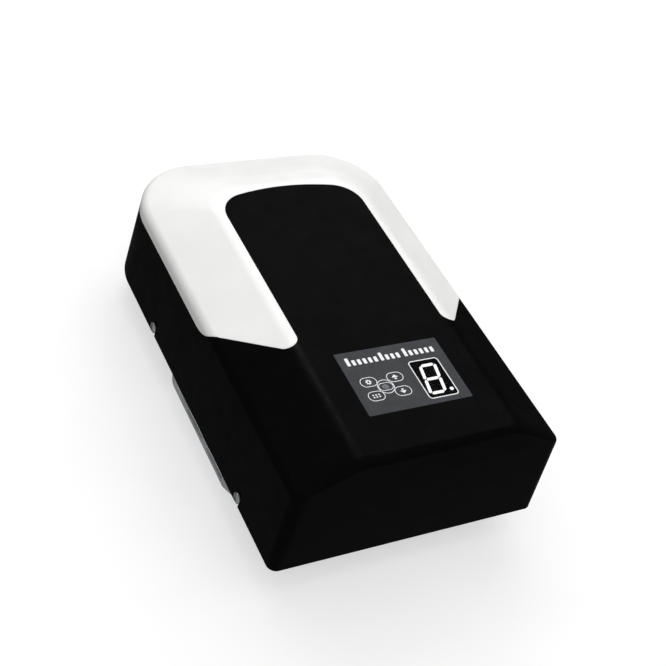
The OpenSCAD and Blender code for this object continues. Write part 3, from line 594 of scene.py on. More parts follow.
def windings():
    """Enamelled copper wire laid in layers."""
    m = Nodes("copper_winding", (0.52, 0.20, 0.07), 0.32, metallic=0.9)
    wire = m.bands(0.6, "Z")
    m.colour(m.mix(wire, (0.30, 0.10, 0.03), (0.66, 0.28, 0.10)))
    m.sheen(4, 4, 0.26, 0.42)
    m.raise_by(wire, 0.12)
    return m.material


def cast_metal():
    """Die-cast zinc alloy with flow marks and a tumbled skin."""
    m = Nodes("die_cast_metal", (0.42, 0.43, 0.45), 0.45, metallic=0.9)
    m.clouds(22, 6, (0.34, 0.35, 0.37), (0.50, 0.51, 0.53), 0.7)
    m.sheen(5, 5, 0.38, 0.6)
    m.raise_by(m.noise(1.1, 4), 0.03)
    return m.material


def ribbon():
    """Flat cable with its separate cores."""
    m = Nodes("ribbon_cable_grey", (0.32, 0.32, 0.33), 0.45)
    core = m.bands(1.27, "X")
    m.colour(m.mix(core, (0.22, 0.22, 0.23), (0.40, 0.40, 0.41)))
    m.sheen(5, 3, 0.38, 0.54)
    m.raise_by(core, 0.3)
    return m.material


FINISH = {
    "hood_black": hood_plastic(),
    "opal_lens": opal_plastic(),
    "galvanised_steel": galvanised("galvanised_sheet"),
    "zinc_screws": metal("bright_zinc", (0.56, 0.57, 0.58), 0.32, size=3),
    "label_grey": label_print(),
    "smoked_window": smoked(),
    "display_black": moulded("display_black", (0.0008, 0.0008, 0.0008), 0.5, Specular_IOR_Level=0.02),
    "segment_white": lit_segment(),
    "circuit_green": circuit("circuit_green"),
    "black_plastic": moulded("black_nylon", (0.012, 0.012, 0.013), 0.45),
    "clear_pipe": moulded("clear_rod", (0.11, 0.12, 0.135), 0.2, height=0.004),
    "brass_post": metal("brass_post", (0.62, 0.44, 0.18), 0.3, size=3),
    "relay_blue": moulded("relay_blue", (0.03, 0.11, 0.34), 0.4),
    "capacitor_sleeve": moulded("capacitor_sleeve", (0.02, 0.022, 0.06), 0.3),
    "terminal_green": moulded("terminal_green", (0.02, 0.26, 0.08), 0.45),
    "fuse_glass": moulded("fuse_glass", (0.55, 0.58, 0.60), 0.15, height=0.003),
    "ribbon_grey": ribbon(),
    "lamination_steel": laminations(),
    "copper_winding": windings(),
    "motor_steel": metal("motor_steel", (0.42, 0.43, 0.44), 0.36, (1, 0.1, 1)),
    "ferrite": moulded("ferrite", (0.035, 0.033, 0.034), 0.6, grain=0.8, height=0.03),
    "carbon": moulded("carbon_block", (0.02, 0.019, 0.018), 0.55),
    "copper_bars": metal("copper_bars", (0.70, 0.36, 0.20), 0.28, (1, 0.1, 1), size=2),
    "ground_steel": metal("ground_steel", (0.58, 0.59, 0.60), 0.2, (1, 0.1, 1), size=2),
    "die_cast": cast_metal(),
    "wheel_nylon": moulded("wheel_nylon", (0.62, 0.58, 0.46), 0.42),
    "bearing_steel": metal("bearing_steel", (0.62, 0.63, 0.65), 0.16, size=2),
    "sprocket_steel": metal("sprocket_steel", (0.26, 0.26, 0.27), 0.42, size=4, height=0.02),
    "lamp_board_white": circuit("lamp_board_white", (0.72, 0.72, 0.70)),
    "led_yellow": moulded("led_phosphor", (0.75, 0.55, 0.10), 0.4),
    "wire_red": moulded("wire_red", (0.42, 0.02, 0.015), 0.42),
}
INK = ink()


def finish_with(obj, slot, *nodes, material=None):
    """Gives a piece the material of its slot, and hides the CAD nodes that it stands in for."""
    obj.data.materials.clear()
    obj.data.materials.append(material or FINISH[slot])
    if nodes:
        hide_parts(*nodes)
    return obj


def dress_cad_nodes():
    """Puts the finish of its slot on every CAD node."""
    for part in frame["record"]["subparts"]:
        obj = frame["nodes"][part["node"]]
        obj.data.materials.clear()
        obj.data.materials.append(FINISH[part["material_slot"]])


dress_cad_nodes()


# ---------------------------------------------------------------- hood and lens

def level(z, half, y0, y1, rf, rr):
    """One horizontal section of the hood: its height and its four corner arcs (x, y, radius), from the
    front right corner anticlockwise."""
    return z, ((half - rf, y0 + rf, rf), (half - rr, y1 - rr, rr),
               (rr - half, y1 - rr, rr), (rf - half, y0 + rf, rf))


def ridge_line(edge, drop, slope):
    """Half width at a drop below the flat top, where a slope meets the top in an arc of RIDGE_R."""
    start = edge - RIDGE_R * tan(slope / 2)
    if drop < RIDGE_R * (1 - cos(slope)):
        return start + sqrt(RIDGE_R ** 2 - (RIDGE_R - drop) ** 2)
    return edge + drop / tan(slope)


def hood_levels(wall):
    """Sections of the hood's skin set in by wall, in three groups: wall, shoulder and top."""
    low = [level(SKIRT_Z, HALF_W - wall, FRONT_Y + wall, REAR_Y - wall, FRONT_R - wall, REAR_R - wall)]
    shoulder = []
    for degree in range(91):
        phi = radians(degree)
        inset = SHOULDER_R - (SHOULDER_R - wall) * cos(phi)
        shoulder.append(level(
            SHOULDER_Z + (SHOULDER_R - wall) * sin(phi), HALF_W - DRAFT - inset,
            FRONT_Y + FRONT_DRAFT + wall, REAR_Y - DRAFT - inset,
            max(SHOULDER_CORNER_R - inset, LEAST_CORNER_R), REAR_R - inset))
    top = []
    steps = 60
    for i in range(steps + 1):
        phi = pi / 2 * i / steps
        drop = FRONT_EDGE_R * (1 - sin(phi))
        front = FRONT_Y + FRONT_DRAFT + wall + FRONT_EDGE_R * (1 - cos(phi))
        top.append(level(
            TOP_Z - wall - drop, ridge_line(PLATEAU_HALF, drop, SIDE_SLOPE) - wall / 2, front,
            from_front(ridge_line(PLATEAU_END, drop, REAR_SLOPE)) - wall / 2,
            PLATEAU_FRONT_R + drop / 3, PLATEAU_R + drop))
    return low, shoulder, top


def upper_chain(points):
    """Indices of the points on the outer side of a rising profile."""
    chain = []
    for i, (h, z) in enumerate(points):
        while len(chain) >= 2:
            (h1, z1), (h0, z0) = points[chain[-1]], points[chain[-2]]
            if (h1 - h0) * (z - z0) - (z1 - z0) * (h - h0) > 1e-9:
                break
            chain.pop()
        chain.append(i)
    return chain


def spread(points, first, last, rows):
    """Fractional indices between first and last, evenly spaced along the profile."""
    length = [0.0]
    for i in range(first, last):
        length.append(length[-1] + math.dist(points[i], points[i + 1]))
    result = []
    for row in range(rows + 1):
        want = length[-1] * row / rows
        i = 0
        while i < len(length) - 2 and length[i + 1] < want:
            i += 1
        step = length[i + 1] - length[i]
        result.append(first + i + ((want - length[i]) / step if step else 0))
    return result


def hood_skin(wall, columns=(24, 14, 44, 44, 24), rows=(5, 14, 7, 16)):
    """Rings of points of the hood's skin, from the skirt to the rim of the flat top."""
    low, shoulder, top = hood_levels(wall)
    levels = low + shoulder + top
    split = 1 + len(shoulder)
    last = len(levels) - 1
    front_n, corner_n, side_n, rear_corner_n, rear_n = columns
    wall_n, bend_n, slope_n, crown_n = rows
    inward = 0.2
    order = [(0, -90, corner_n, side_n), (1, 0, rear_corner_n, rear_n),
             (2, 90, rear_corner_n, side_n), (3, 180, corner_n, front_n)]

    def picks(corner, theta):
        nudge = min(max(theta, order[corner][1] + inward), order[corner][1] + 90 - inward)
        n = (cos(radians(nudge)), sin(radians(nudge)))
        profile = [(c[corner][0] * n[0] + c[corner][1] * n[1] + c[corner][2], z) for z, c in levels]
        chain = upper_chain(profile)
        leave = max((i for i in chain if i < split), default=split - 1)
        land = min((i for i in chain if i >= split), default=split)
        wall_rows = [i / wall_n for i in range(wall_n)]
        bend = spread(profile, 1, max(leave, 3), bend_n)
        slope = [("mix", max(leave, 3), land, i / slope_n) for i in range(1, slope_n)]
        crown = spread(profile, land, last, crown_n)
        return wall_rows + bend + slope + crown

    def point(pick, corner, theta):
        if isinstance(pick, tuple):
            _, a, b, f = pick
        else:
            a = min(int(pick), last - 1)
            b, f = a + 1, pick - a
        n = (cos(radians(theta)), sin(radians(theta)))
        ends = []
        for k in (a, b):
            z, c = levels[k]
            x, y, r = c[corner]
            ends.append(Vector((x + r * n[0], y + r * n[1], z)))
        return ends[0].lerp(ends[1], f)

    strips = []
    for corner, start, corner_steps, straight_steps in order:
        for i in range(corner_steps + 1):
            theta = start + 90 * i / corner_steps
            strips.append([point(p, corner, theta) for p in picks(corner, theta)])
        following = (corner + 1) % 4
        theta = start + 90
        here = strips[-1]
        there = [point(p, following, theta) for p in picks(following, theta)]
        for i in range(1, straight_steps):
            f = i / straight_steps
            strips.append([a.lerp(b, f) for a, b in zip(here, there)])
    return [[strip[row] for strip in strips] for row in range(len(strips[0]))]


def hood_blank(name, wall):
    """Closed shell between the outer skin and the skin set in by wall."""
    outer = hood_skin(0)
    inner = hood_skin(wall)
    n = len(outer[0])
    rings = list(reversed(outer)) + inner
    verts = [tuple(p) for one in rings for p in one]
    faces = band_faces(len(rings), n)
    faces.append(tuple(range(n)))
    faces.append(tuple((len(rings) - 1) * n + i for i in range(n)))
    return piece(name, verts, faces, body=None, smooth=0)


TIP_R = 8.5
TIP_X, TIP_Y = TONGUE_HALF + TIP_R, from_front(136.1)
LENS_SLANT = radians(49.6)


def tongue_end(g):
    """Crowned rear end of the tongue with its two round corners, from left to right."""
    r = TONGUE_R + g
    w = TONGUE_HALF + g
    crown_y = from_front(TONGUE_END) - CROWN_R
    reach = CROWN_R + g - r
    turn = math.asin((w - r) / reach)
    corner_y = crown_y + reach * cos(turn)
    deg = math.degrees(turn)
    left = arc(r - w, corner_y, r, 180, 90 + deg, 20)
    middle = arc(0, crown_y, CROWN_R + g, 90 + deg, 90 - deg, 28)
    return left + middle[1:-1] + [(-x, y) for x, y in reversed(left)]


def lens_plan(g):
    """Outline of the lens area in plan, shrunk by g, with the tongue left out of it."""
    reach = 75
    turn = arc(TIP_X, TIP_Y, TIP_R - g, 180, 270 + math.degrees(LENS_SLANT), 24)
    edge = turn[-1]
    far = (edge[0] + reach * cos(LENS_SLANT), edge[1] + reach * sin(LENS_SLANT))
    right = turn + [far, (HALF_W + 30, REAR_Y + BEYOND)]
    left = [(-x, y) for x, y in reversed(right)]
    return right + left + tongue_end(g)


def wall_front_plan(g):
    """Side view of the skin in front of the lens: a slanted edge that turns into the lower edge."""
    r = 32
    slope_x = HALF_W - DRAFT - SHOULDER_R * (1 - sin(SIDE_SLOPE))
    tip_edge = (TIP_X + TIP_R * sin(LENS_SLANT), TIP_Y - TIP_R * cos(LENS_SLANT))
    slope_y = tip_edge[1] + (slope_x - tip_edge[0]) * tan(LENS_SLANT)
    wall_run = SHOULDER_Z - LENS_EDGE_Z
    skin_run = wall_run + SHOULDER_R * (pi / 2 - SIDE_SLOPE)
    rise = tan(LENS_SLANT) * cos(SIDE_SLOPE)
    lean = math.atan(rise)
    corner_y = slope_y + rise * (skin_run - r * (1 - sin(lean))) + r * cos(lean)

    def skin_z(s):
        if s < wall_run:
            return LENS_EDGE_Z + s
        return SHOULDER_Z + SHOULDER_R * sin((s - wall_run) / SHOULDER_R)

    past, front, straight_n, bend_n = 3, slope_y - 30, 12, 32
    top = skin_run + past
    outline = [(front, LENS_EDGE_Z - past), (front, skin_z(top))]
    for i in range(straight_n):
        s = top - i * (top - r * (1 - sin(lean))) / straight_n
        outline.append((slope_y + g + rise * (skin_run - s), skin_z(s)))
    for i in range(bend_n + 1):
        a = pi + lean + (pi / 2 - lean) * i / bend_n
        outline.append((corner_y + (r - g) * cos(a), skin_z(r + (r - g) * sin(a))))
    outline.append((corner_y, LENS_EDGE_Z - past))
    return slope_x, outline


def lens_cutter(g):
    """Solid that marks the lens's share of the skin."""
    obj = solid("lens_cutter", [([lens_plan(g)], LENS_EDGE_Z + g, TOP_Z + BEYOND)])
    slope_x, outline = wall_front_plan(g)
    for side in (-1, 1):
        x0, x1 = sorted((side * slope_x, side * (slope_x + 25)))
        cut(obj, solid("corner_cutter", [([outline], x0, x1)], AXIS_X))
    return obj


def key_centres():
    """Middle of each key, from the CAD caps."""
    return {name: middle(*corners("key_" + name)) for name in ("set", "up", "code", "down")}


KEYS = key_centres()
LAMP_X, LAMP_Y = middle(pipe_low, pipe_high)
LAMP_R = (pipe_high.x - pipe_low.x) / 2
LABEL_X, LABEL_Y = middle(label_low, label_high)
LABEL_W, LABEL_D = label_high.x - label_low.x, label_high.y - label_low.y
WINDOW_X, WINDOW_Y = middle(window_low, window_high)
WINDOW_W, WINDOW_D = 26, 39
SCREW_Y = (from_front(69.5), from_front(266))
SCREW_Z = SKIRT_Z + 8.1
NOTCH_R = 3


def key_and_lamp_holes():
    """Openings for the keys and the lamp rod, in the hood and in the label alike."""
    holes = [stadium(x, y, KEY_W, KEY_D) for x, y in KEYS.values()]
    holes.append(circle(LAMP_X, LAMP_Y, LAMP_R + 0.1))
    return holes


def hood_cutters():
    """Cutters for the label recess, the openings under it, the screw notches and the inlet opening."""
    play = 0.4
    recess = rounded(LABEL_X, LABEL_Y, LABEL_W + play, LABEL_D + play, 3)
    holes = key_and_lamp_holes()
    holes.append(rounded(WINDOW_X, WINDOW_Y, WINDOW_W - 2, WINDOW_D - 2, 2))
    notch = arc(0, 0, NOTCH_R, 0, 180, 16) + [(-NOTCH_R, -BEYOND), (NOTCH_R, -BEYOND)]
    notches = []
    for side in (-1, 1):
        x0, x1 = sorted((side * (HALF_W - 12), side * (HALF_W + 12)))
        for y in SCREW_Y:
            notches.append(([[(y + a, SCREW_Z + b) for a, b in notch]], x0, x1))
    left, right, top = inlet_low.x - 2, inlet_high.x + 2, inlet_high.z + 3
    mouth = [(left, SKIRT_Z - 5), (right, SKIRT_Z - 5), (right, top), (left, top)]
    return [solid("recess_cutter", [([recess], label_low.z, TOP_Z + 5)]),
            solid("opening_cutter", [([hole], TOP_Z - 12, TOP_Z + 3) for hole in holes]),
            solid("notch_cutter", notches, AXIS_X),
            solid("inlet_cutter", [([mouth], -REAR_Y - BEYOND, -REAR_Y + 12)], AXIS_Y)]


def hood_and_lens():
    hood = hood_blank("hood_shell", HOOD_WALL)
    cut(hood, lens_cutter(0))
    for cutter in hood_cutters():
        cut(hood, cutter)
    tidy_normals(hood)
    shade(hood, 32)
    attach(hood, "head")
    finish_with(hood, "hood_black", "top_cover")

    lens = hood_blank("lamp_lens_shell", LENS_WALL)
    cut(lens, lens_cutter(LENS_GAP), "INTERSECT")
    tidy_normals(lens)
    shade(lens, 32)
    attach(lens, "head")
    finish_with(lens, "opal_lens", "lamp_lens")


hood_and_lens()


# ---------------------------------------------------------------- control panel

LINE = 0.6
print_z = label_high.z


def printed(name, loops_list, body="head", base=None):
    """Raised ink on the label or on a key."""
    base = print_z if base is None else base
    obj = joined_plates(name, [(loops, base, base + PRINT_T) for loops in loops_list], body)
    finish_with(obj, "segment_white", material=INK)
    return obj


def label_panel():
    loops = [rounded(LABEL_X, LABEL_Y, LABEL_W, LABEL_D, 1.2)] + key_and_lamp_holes()
    loops.append(rounded(WINDOW_X, WINDOW_Y, WINDOW_W, WINDOW_D, 2.5))
    film = plate("label_film", loops, label_low.z, label_high.z, 0.12)
    finish_with(film, "label_grey", "control_label")


def key_outlines():
    shapes = [ring(stadium(x, y, KEY_W + LINE + 0.1, KEY_D + LINE + 0.1), LINE) for x, y in KEYS.values()]
    printed("key_outlines", shapes)


def lamp_marks():
    """Circle round the lamp, the band across it and the short links to the keys."""
    circle_r = 7
    shapes = [ring(circle(LAMP_X, LAMP_Y, circle_r, 64), 0.6)]
    shapes.append(ring(stadium(LAMP_X, LAMP_Y, 12.4, 7.6), 0.5))
    for x, y in KEYS.values():
        out = Vector((x - LAMP_X, y - LAMP_Y))
        a = out.normalized() * (circle_r + 0.2)
        edge_x = (KEY_W - KEY_D) / 2
        centre = Vector((x - math.copysign(edge_x, out.x), y))
        gap = centre - Vector((LAMP_X, LAMP_Y))
        b = gap - gap.normalized() * (KEY_D / 2 + LINE / 2 + 0.2)
        if b.length > a.length:
            shapes.append(line(LAMP_X + a.x, LAMP_Y + a.y, LAMP_X + b.x, LAMP_Y + b.y, 0.6))
    printed("lamp_marks", shapes)


def heading_marks():
    """Generic heading: a row of upright bars in three groups, with no letters."""
    groups = ((-38.8, 6), (-8.2, 4), (13.8, 6))
    pitch, width, first_tall, other_tall = 5.0, 2.9, 8.6, 5.6
    foot = from_front(95.6)
    shapes = []
    for start, count in groups:
        for i in range(count):
            tall = other_tall if i else first_tall
            shapes.append([rounded(start + i * pitch, foot + tall / 2, width, tall, 0.8, 4)])
    printed("heading_marks", shapes)


def display_frame():
    loops = ring(rounded(WINDOW_X, WINDOW_Y, WINDOW_W + 1.1, WINDOW_D + 1.1, 3, 10), 0.9)
    printed("display_frame", [loops])


def key_symbols():
    """Arrow up, arrow down, gear and code dots."""
    def arrow(x, y, way):
        return [[(x - 2.9, y - way * 0.3), (x + 2.9, y - way * 0.3), (x, y + way * 2.5)][::way],
                [(x - 0.9, y - way * 2.3), (x + 0.9, y - way * 2.3), (x + 0.9, y - way * 0.9),
                 (x - 0.9, y - way * 0.9)][::way]]

    def gear(x, y):
        teeth = 8
        outline = []
        for i in range(teeth):
            for r, shift in ((1.9, -0.30), (2.7, -0.18), (2.7, 0.18), (1.9, 0.30)):
                a = 2 * pi * (i + shift) / teeth
                outline.append((x + r * cos(a), y + r * sin(a)))
        return [outline, circle(x, y, 1.0, 24)]

    up, down, code, setting = KEYS["up"], KEYS["down"], KEYS["code"], KEYS["set"]
    top = corners("key_up")[1].z
    printed("up_symbol", [[shape] for shape in arrow(*up, 1)], "up_key", top)
    printed("down_symbol", [[shape] for shape in arrow(*down, -1)], "down_key", top)
    dots = [[circle(code[0] + i * 2.6, code[1] + j * 2.2, 0.75, 20)]
            for i in (-1, 0, 1) for j in (-0.5, 0.5)]
    printed("code_symbol", dots, "code_key", top)
    printed("set_symbol", [gear(*setting)], "set_key", top)


def key_caps():
    """Keys with a rounded rim, a retaining flange and the stem onto the switch."""
    for name, (x, y) in KEYS.items():
        low, high = corners("key_" + name)
        flange_top = TOP_Z - HOOD_WALL - KEY_GAP
        cap = ([stadium(x, y, KEY_W - 2 * KEY_GAP, KEY_D - 2 * KEY_GAP)], flange_top - 0.4, high.z, 0.35, 4)
        flange = ([stadium(x, y, KEY_W + 1.6, KEY_D + 1.6)], flange_top - 1.2, flange_top, 0.2)
        stem = ([circle(x, y, 1.6, 32)], low.z, flange_top - 0.8, 0.2)
        obj = joined_plates("key_cap_" + name, [cap, flange, stem], name + "_key")
        finish_with(obj, "label_grey", "key_" + name)


def window_pane():
    obj = plate("window_pane", [rounded(WINDOW_X, WINDOW_Y, WINDOW_W - 0.3, WINDOW_D - 0.3, 2.3)],
                window_low.z, window_high.z, 0.15, steps=3)
    finish_with(obj, "smoked_window", "display_window")


def lamp_rod():
    """Turned profile of the clear rod, with a domed end."""
    r = LAMP_R
    dome = 0.35
    profile = [(0, pipe_low.z), (r - 0.3, pipe_low.z), (r, pipe_low.z + 0.3), (r, pipe_high.z - dome)]
    for i in range(1, 9):
        a = pi / 2 * i / 8
        profile.append((r * cos(a), pipe_high.z - dome + dome * sin(a)))
    rod = piece("lamp_rod", *lathe_mesh(profile, (LAMP_X, LAMP_Y, 0)))
    finish_with(rod, "clear_pipe", "light_pipe")


label_panel()
key_outlines()
lamp_marks()
heading_marks()
display_frame()
key_caps()
key_symbols()
window_pane()
lamp_rod()


# ---------------------------------------------------------------- brackets, clamps and screws

HANGER_X = 113
HANGER_T = 2.5
HANGER_LEG = 34
HANGER_Y = (-102, 40)
HANGER_BOLTS = (-80, 33)
HANGER_SLOTS = (-62, -16)
HANGER_SLOT = (37, 6.4)
HANGER_SLOT_Z = 6.4
HANGER_BOLT_X = HANGER_X - 20
BOLT_HOLE_R = 3.2
BEND_R = 3.5
CLAMP_Y = (-125, 5)
CLAMP_HALF = 12
CLAMP_BOLT_X = 28.5
SHAFT_Y = 60
EDGE = 0.3


def soft_metal(obj, slot, *nodes, edge=EDGE, body="head"):
    """Finishes a metal piece: rounded edges, smooth bends, its material and its body."""
    tidy_normals(obj)
    bevelled(obj, edge)
    shade(obj, 35)
    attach(obj, body)
    finish_with(obj, slot, *nodes)


def bolt_bores(spots):
    """Cutter for the bolt holes through a sheet below the chassis."""
    return solid("bores", [([circle(x, y, BOLT_HOLE_R, 32)], SKIRT_Z - 8, SKIRT_Z + 8) for x, y in spots])


def hanging_bracket(side, name):
    """Folded sheet with a bend radius, two slots for the ceiling straps and two bolt holes."""
    x, t, leg = HANGER_X, HANGER_T, HANGER_X - HANGER_LEG
    bend_x, bend_z = x - BEND_R, SKIRT_Z - BEND_R
    fold = [(x, 0)] + arc(bend_x, bend_z, BEND_R, 0, 90, 8) + [(leg, SKIRT_Z), (leg, SKIRT_Z - t)]
    fold += arc(bend_x, bend_z, BEND_R - t, 90, 0, 6) + [(x - t, 0)]
    y0, y1 = HANGER_Y
    chamfer, chamfer_z, corner = 18, 9.5, 8
    sheet = solid("sheet", [([[(side * a, b) for a, b in fold]], -y1, -y0)], AXIS_Y)
    edge = [(y0, SKIRT_Z + 4), (y0, chamfer_z), (y0 + chamfer, 0)]
    edge += arc(y1 - corner, corner, corner, -90, 0, 10) + [(y1, SKIRT_Z + 4)]
    cut(sheet, solid("edge", [([edge], -HALF_W, HALF_W)], AXIS_X), "INTERSECT")
    low, high = sorted((side * (x - 6), side * (x + 6)))
    slots = [([stadium(y, HANGER_SLOT_Z, *HANGER_SLOT, 12)], low, high) for y in HANGER_SLOTS]
    cut(sheet, solid("slots", slots, AXIS_X))
    cut(sheet, bolt_bores([(side * HANGER_BOLT_X, y) for y in HANGER_BOLTS]))
    sheet.name = name
    soft_metal(sheet, "galvanised_steel", "hanging_" + name)


def rail_clamp(y, place):
    """Hat-shaped clamp with bend radii."""
    outer, ear, t, depth = 20.5, 36.5, 2, 27
    r = BEND_R - t
    low, ear_x, ear_z = SKIRT_Z - depth, outer + r, SKIRT_Z - BEND_R
    foot_x, foot_z = outer - BEND_R, low + BEND_R
    above = [(ear, SKIRT_Z)] + arc(ear_x, ear_z, BEND_R, 90, 180, 8) + arc(foot_x, foot_z, r, 0, -90, 6)
    below = arc(foot_x, foot_z, BEND_R, -90, 0, 8) + arc(ear_x, ear_z, r, 180, 90, 6)
    below.append((ear, SKIRT_Z - t))
    right = below + above
    hat = right + [(-a, b) for a, b in reversed(right)]
    clamp = solid("hat", [([hat], -y - CLAMP_HALF, CLAMP_HALF - y)], AXIS_Y)
    cut(clamp, bolt_bores([(side * CLAMP_BOLT_X, y) for side in (-1, 1)]))
    clamp.name = "clamp_" + place
    soft_metal(clamp, "galvanised_steel", "rail_clamp_" + place)


def hexagon_bolts(node, spots, seat_z, stack):
    """Hexagon bolts with chamfered heads and nuts, pointing up."""
    across, head, nut, bolt_r = 10, 3.9, 4.8, 3
    tip = stack + 7
    shank = [(0, -0.5), (bolt_r, -0.5), (bolt_r, tip - 0.6), (bolt_r - 0.6, tip), (0, tip)]
    meshes = []
    for x, y in spots:
        meshes.append(hexagon_mesh((x, y), seat_z - head, seat_z, across))
        meshes.append(lathe_mesh(shank, (x, y, seat_z), 32))
        meshes.append(hexagon_mesh((x, y), seat_z + stack + nut, seat_z + stack, across))
    obj = piece(node + "_set", *gathered(meshes))
    finish_with(obj, "zinc_screws", node)


def cover_screws():
    """Pan-head screws with a cross recess."""
    head = [(0, -10), (1.6, -10), (2, -9.4), (2, 0), (4.85, 0), (5, 0.15), (5, 0.95)]
    head += [(4.25 + 0.75 * cos(radians(a)), 0.95 + 0.8 * sin(radians(a))) for a in (15, 30, 45, 60, 75)]
    head += [(3.6, 2.18), (2.6, 2.5), (1.5, 2.7), (0, 2.78)]
    wide, thin = 2.4, 0.55
    cross = []
    for turn in range(4):
        c, d = cos(turn * pi / 2), sin(turn * pi / 2)
        for a, b in ((thin, -thin), (wide, -thin * 0.7), (wide, thin * 0.7)):
            cross.append((a * c - b * d, a * d + b * c))
    meshes = []
    recesses = []
    for side in (-1, 1):
        for y in SCREW_Y:
            verts, faces = lathe_mesh(head, (y, SCREW_Z, HALF_W - 0.1), 40)
            meshes.append(([(a, b, side * c) for a, b, c in verts], faces))
            low, high = sorted((side * (HALF_W + 1.3), side * (HALF_W + 6)))
            recesses.append(([[(y + a, SCREW_Z + b) for a, b in cross]], low, high))
    verts, faces = gathered(meshes)
    obj = piece("cover_screw_set", verts, faces, body=None, matrix=AXIS_X)
    obj.modifiers.clear()
    cut(obj, solid("recesses", recesses, AXIS_X))
    soft_metal(obj, "zinc_screws", "cover_screws", edge=0.12)


def mains_inlet():
    """Appliance inlet: flange, body, shaped recess and three blades."""
    x = (inlet_low.x + inlet_high.x) / 2
    z = (inlet_low.z + inlet_high.z) / 2
    rear = inlet_high.y
    w, d = inlet_high.x - inlet_low.x, inlet_high.z - inlet_low.z
    flange = solid("inlet_socket", [([rounded(x, z, w, d, 2)], -rear, -rear + 2.6, 0.5, 3)], AXIS_Y)
    body = solid("body", [([rounded(x, z, 27, 19.5, 1.5)], -rear + 1.5, -inlet_low.y)], AXIS_Y)
    cut(flange, body, "UNION")
    mouth = [(-11.9, 8.1), (-11.9, -4.6), (-8.4, -8.1), (8.4, -8.1), (11.9, -4.6), (11.9, 8.1)]
    cut(flange, solid("mouth", [([[(x + a, z + b) for a, b in mouth]], -rear - 3, -rear + 17)], AXIS_Y))
    soft_metal(flange, "black_plastic", "mains_inlet", edge=0.25)
    blades = []
    for a, b in ((-7, 2), (0, -2), (7, 2)):
        blades.append(([rounded(x + a, z + b, 2, 4, 0.4, 4)], -rear + 5.7, -rear + 18, 0.3))
    pins = joined_plates("inlet_blades", blades, matrix=AXIS_Y)
    finish_with(pins, "ground_steel")


def sprocket():
    """Chain sprocket: rounded gullets, chamfered teeth, hub and a flat in its bore."""
    low, high = corners("drive_sprocket")
    teeth, roller, thick = 10, 3.2, 5
    pitch_r = 9.525 / 2 / sin(pi / teeth)
    tip_r = pitch_r + 2.4
    open_angle = math.acos((tip_r ** 2 - pitch_r ** 2 - roller ** 2) / (2 * pitch_r * roller))
    edge_turn = math.asin(roller * sin(open_angle) / tip_r)
    outline = []
    for i in range(teeth):
        a = 2 * pi * i / teeth
        cx, cy = pitch_r * cos(a), SHAFT_Y + pitch_r * sin(a)
        first, last = math.degrees(a - open_angle), math.degrees(a - 2 * pi + open_angle)
        outline += arc(cx, cy, roller, first, last, 14)
        start, end = math.degrees(a + edge_turn), math.degrees(a + 2 * pi / teeth - edge_turn)
        outline += arc(0, SHAFT_Y, tip_r, start, end, 4)[1:-1]
    wheel = solid("sprocket", [([outline], low.z, low.z + thick, 0.7, 3)])
    hub = solid("hub", [([circle(0, SHAFT_Y, 11.5, 64)], low.z + 2, high.z, 0.5)])
    cut(wheel, hub, "UNION")
    flat = math.degrees(math.acos(6.5 / 8))
    bore = arc(0, SHAFT_Y, 8, flat, 360 - flat, 48)
    cut(wheel, solid("bore", [([bore], low.z - 3, high.z + 3)]))
    soft_metal(wheel, "sprocket_steel", "drive_sprocket", edge=0.2, body="output_drive")


hanging_bracket(-1, "bracket_left")
hanging_bracket(1, "bracket_right")
rail_clamp(CLAMP_Y[0], "front")
rail_clamp(CLAMP_Y[1], "rear")
hexagon_bolts("bracket_bolts", [(side * HANGER_BOLT_X, y) for side in (-1, 1) for y in HANGER_BOLTS],
              SKIRT_Z - HANGER_T, HANGER_T + 2)
hexagon_bolts("rail_clamp_bolts", [(side * CLAMP_BOLT_X, y) for side in (-1, 1) for y in CLAMP_Y],
              SKIRT_Z - 2, 4)
cover_screws()
mains_inlet()
sprocket()


# ---------------------------------------------------------------- stage, light and camera

SKY_ZENITH = 1.32
SKY_HORIZON = 0.2
SKY_GLOSS = 0.2325
SKY_GLOSS_LEAN = (-0.1, -0.185, 0.0)
CAMERA_AT = (-0.52073, -0.68654, 0.86167)
CAMERA_AZIMUTH, CAMERA_ELEVATION, CAMERA_ROLL = -37.909, 42.133, 18.192
CAMERA_LENS = 71.575


def floor():
    """Pale sheet that gloss and bounced light don't see."""
    half = 6
    mesh = bpy.data.meshes.new("floor")
    corners_xy = ((-half, -half), (half, -half), (half, half), (-half, half))
    mesh.from_pydata([(x, y, -0.0005) for x, y in corners_xy], [], [(0, 1, 2, 3)])
    obj = placed("floor", mesh)
    m = Nodes("floor_paper", (0.5, 0.5, 0.5), 0.8, Specular_IOR_Level=0.0, Emission_Strength=0.5)
    m.set("Emission Color", (1, 1, 1, 1))
    m.clouds(120, 3, (0.49, 0.49, 0.49), (0.51, 0.51, 0.51))
    obj.data.materials.append(m.material)
    obj.visible_glossy = False
    obj.visible_diffuse = False


def softbox(name, azimuth, elevation, distance, size, radiance, target=(0, 0, 0.1)):
    """Area light that faces the object; its brightness is given as radiance."""
    a, e = radians(azimuth), radians(elevation)
    target = Vector(target)
    spot = target + distance * Vector((sin(a) * cos(e), cos(a) * cos(e), sin(e)))
    data = bpy.data.lights.new(name, "AREA")
    data.shape = "RECTANGLE"
    data.size, data.size_y = size
    data.energy = radiance * pi * size[0] * size[1]
    obj = placed(name, data)
    obj.location = spot
    obj.rotation_euler = (target - spot).to_track_quat("-Z", "Y").to_euler()
    return obj


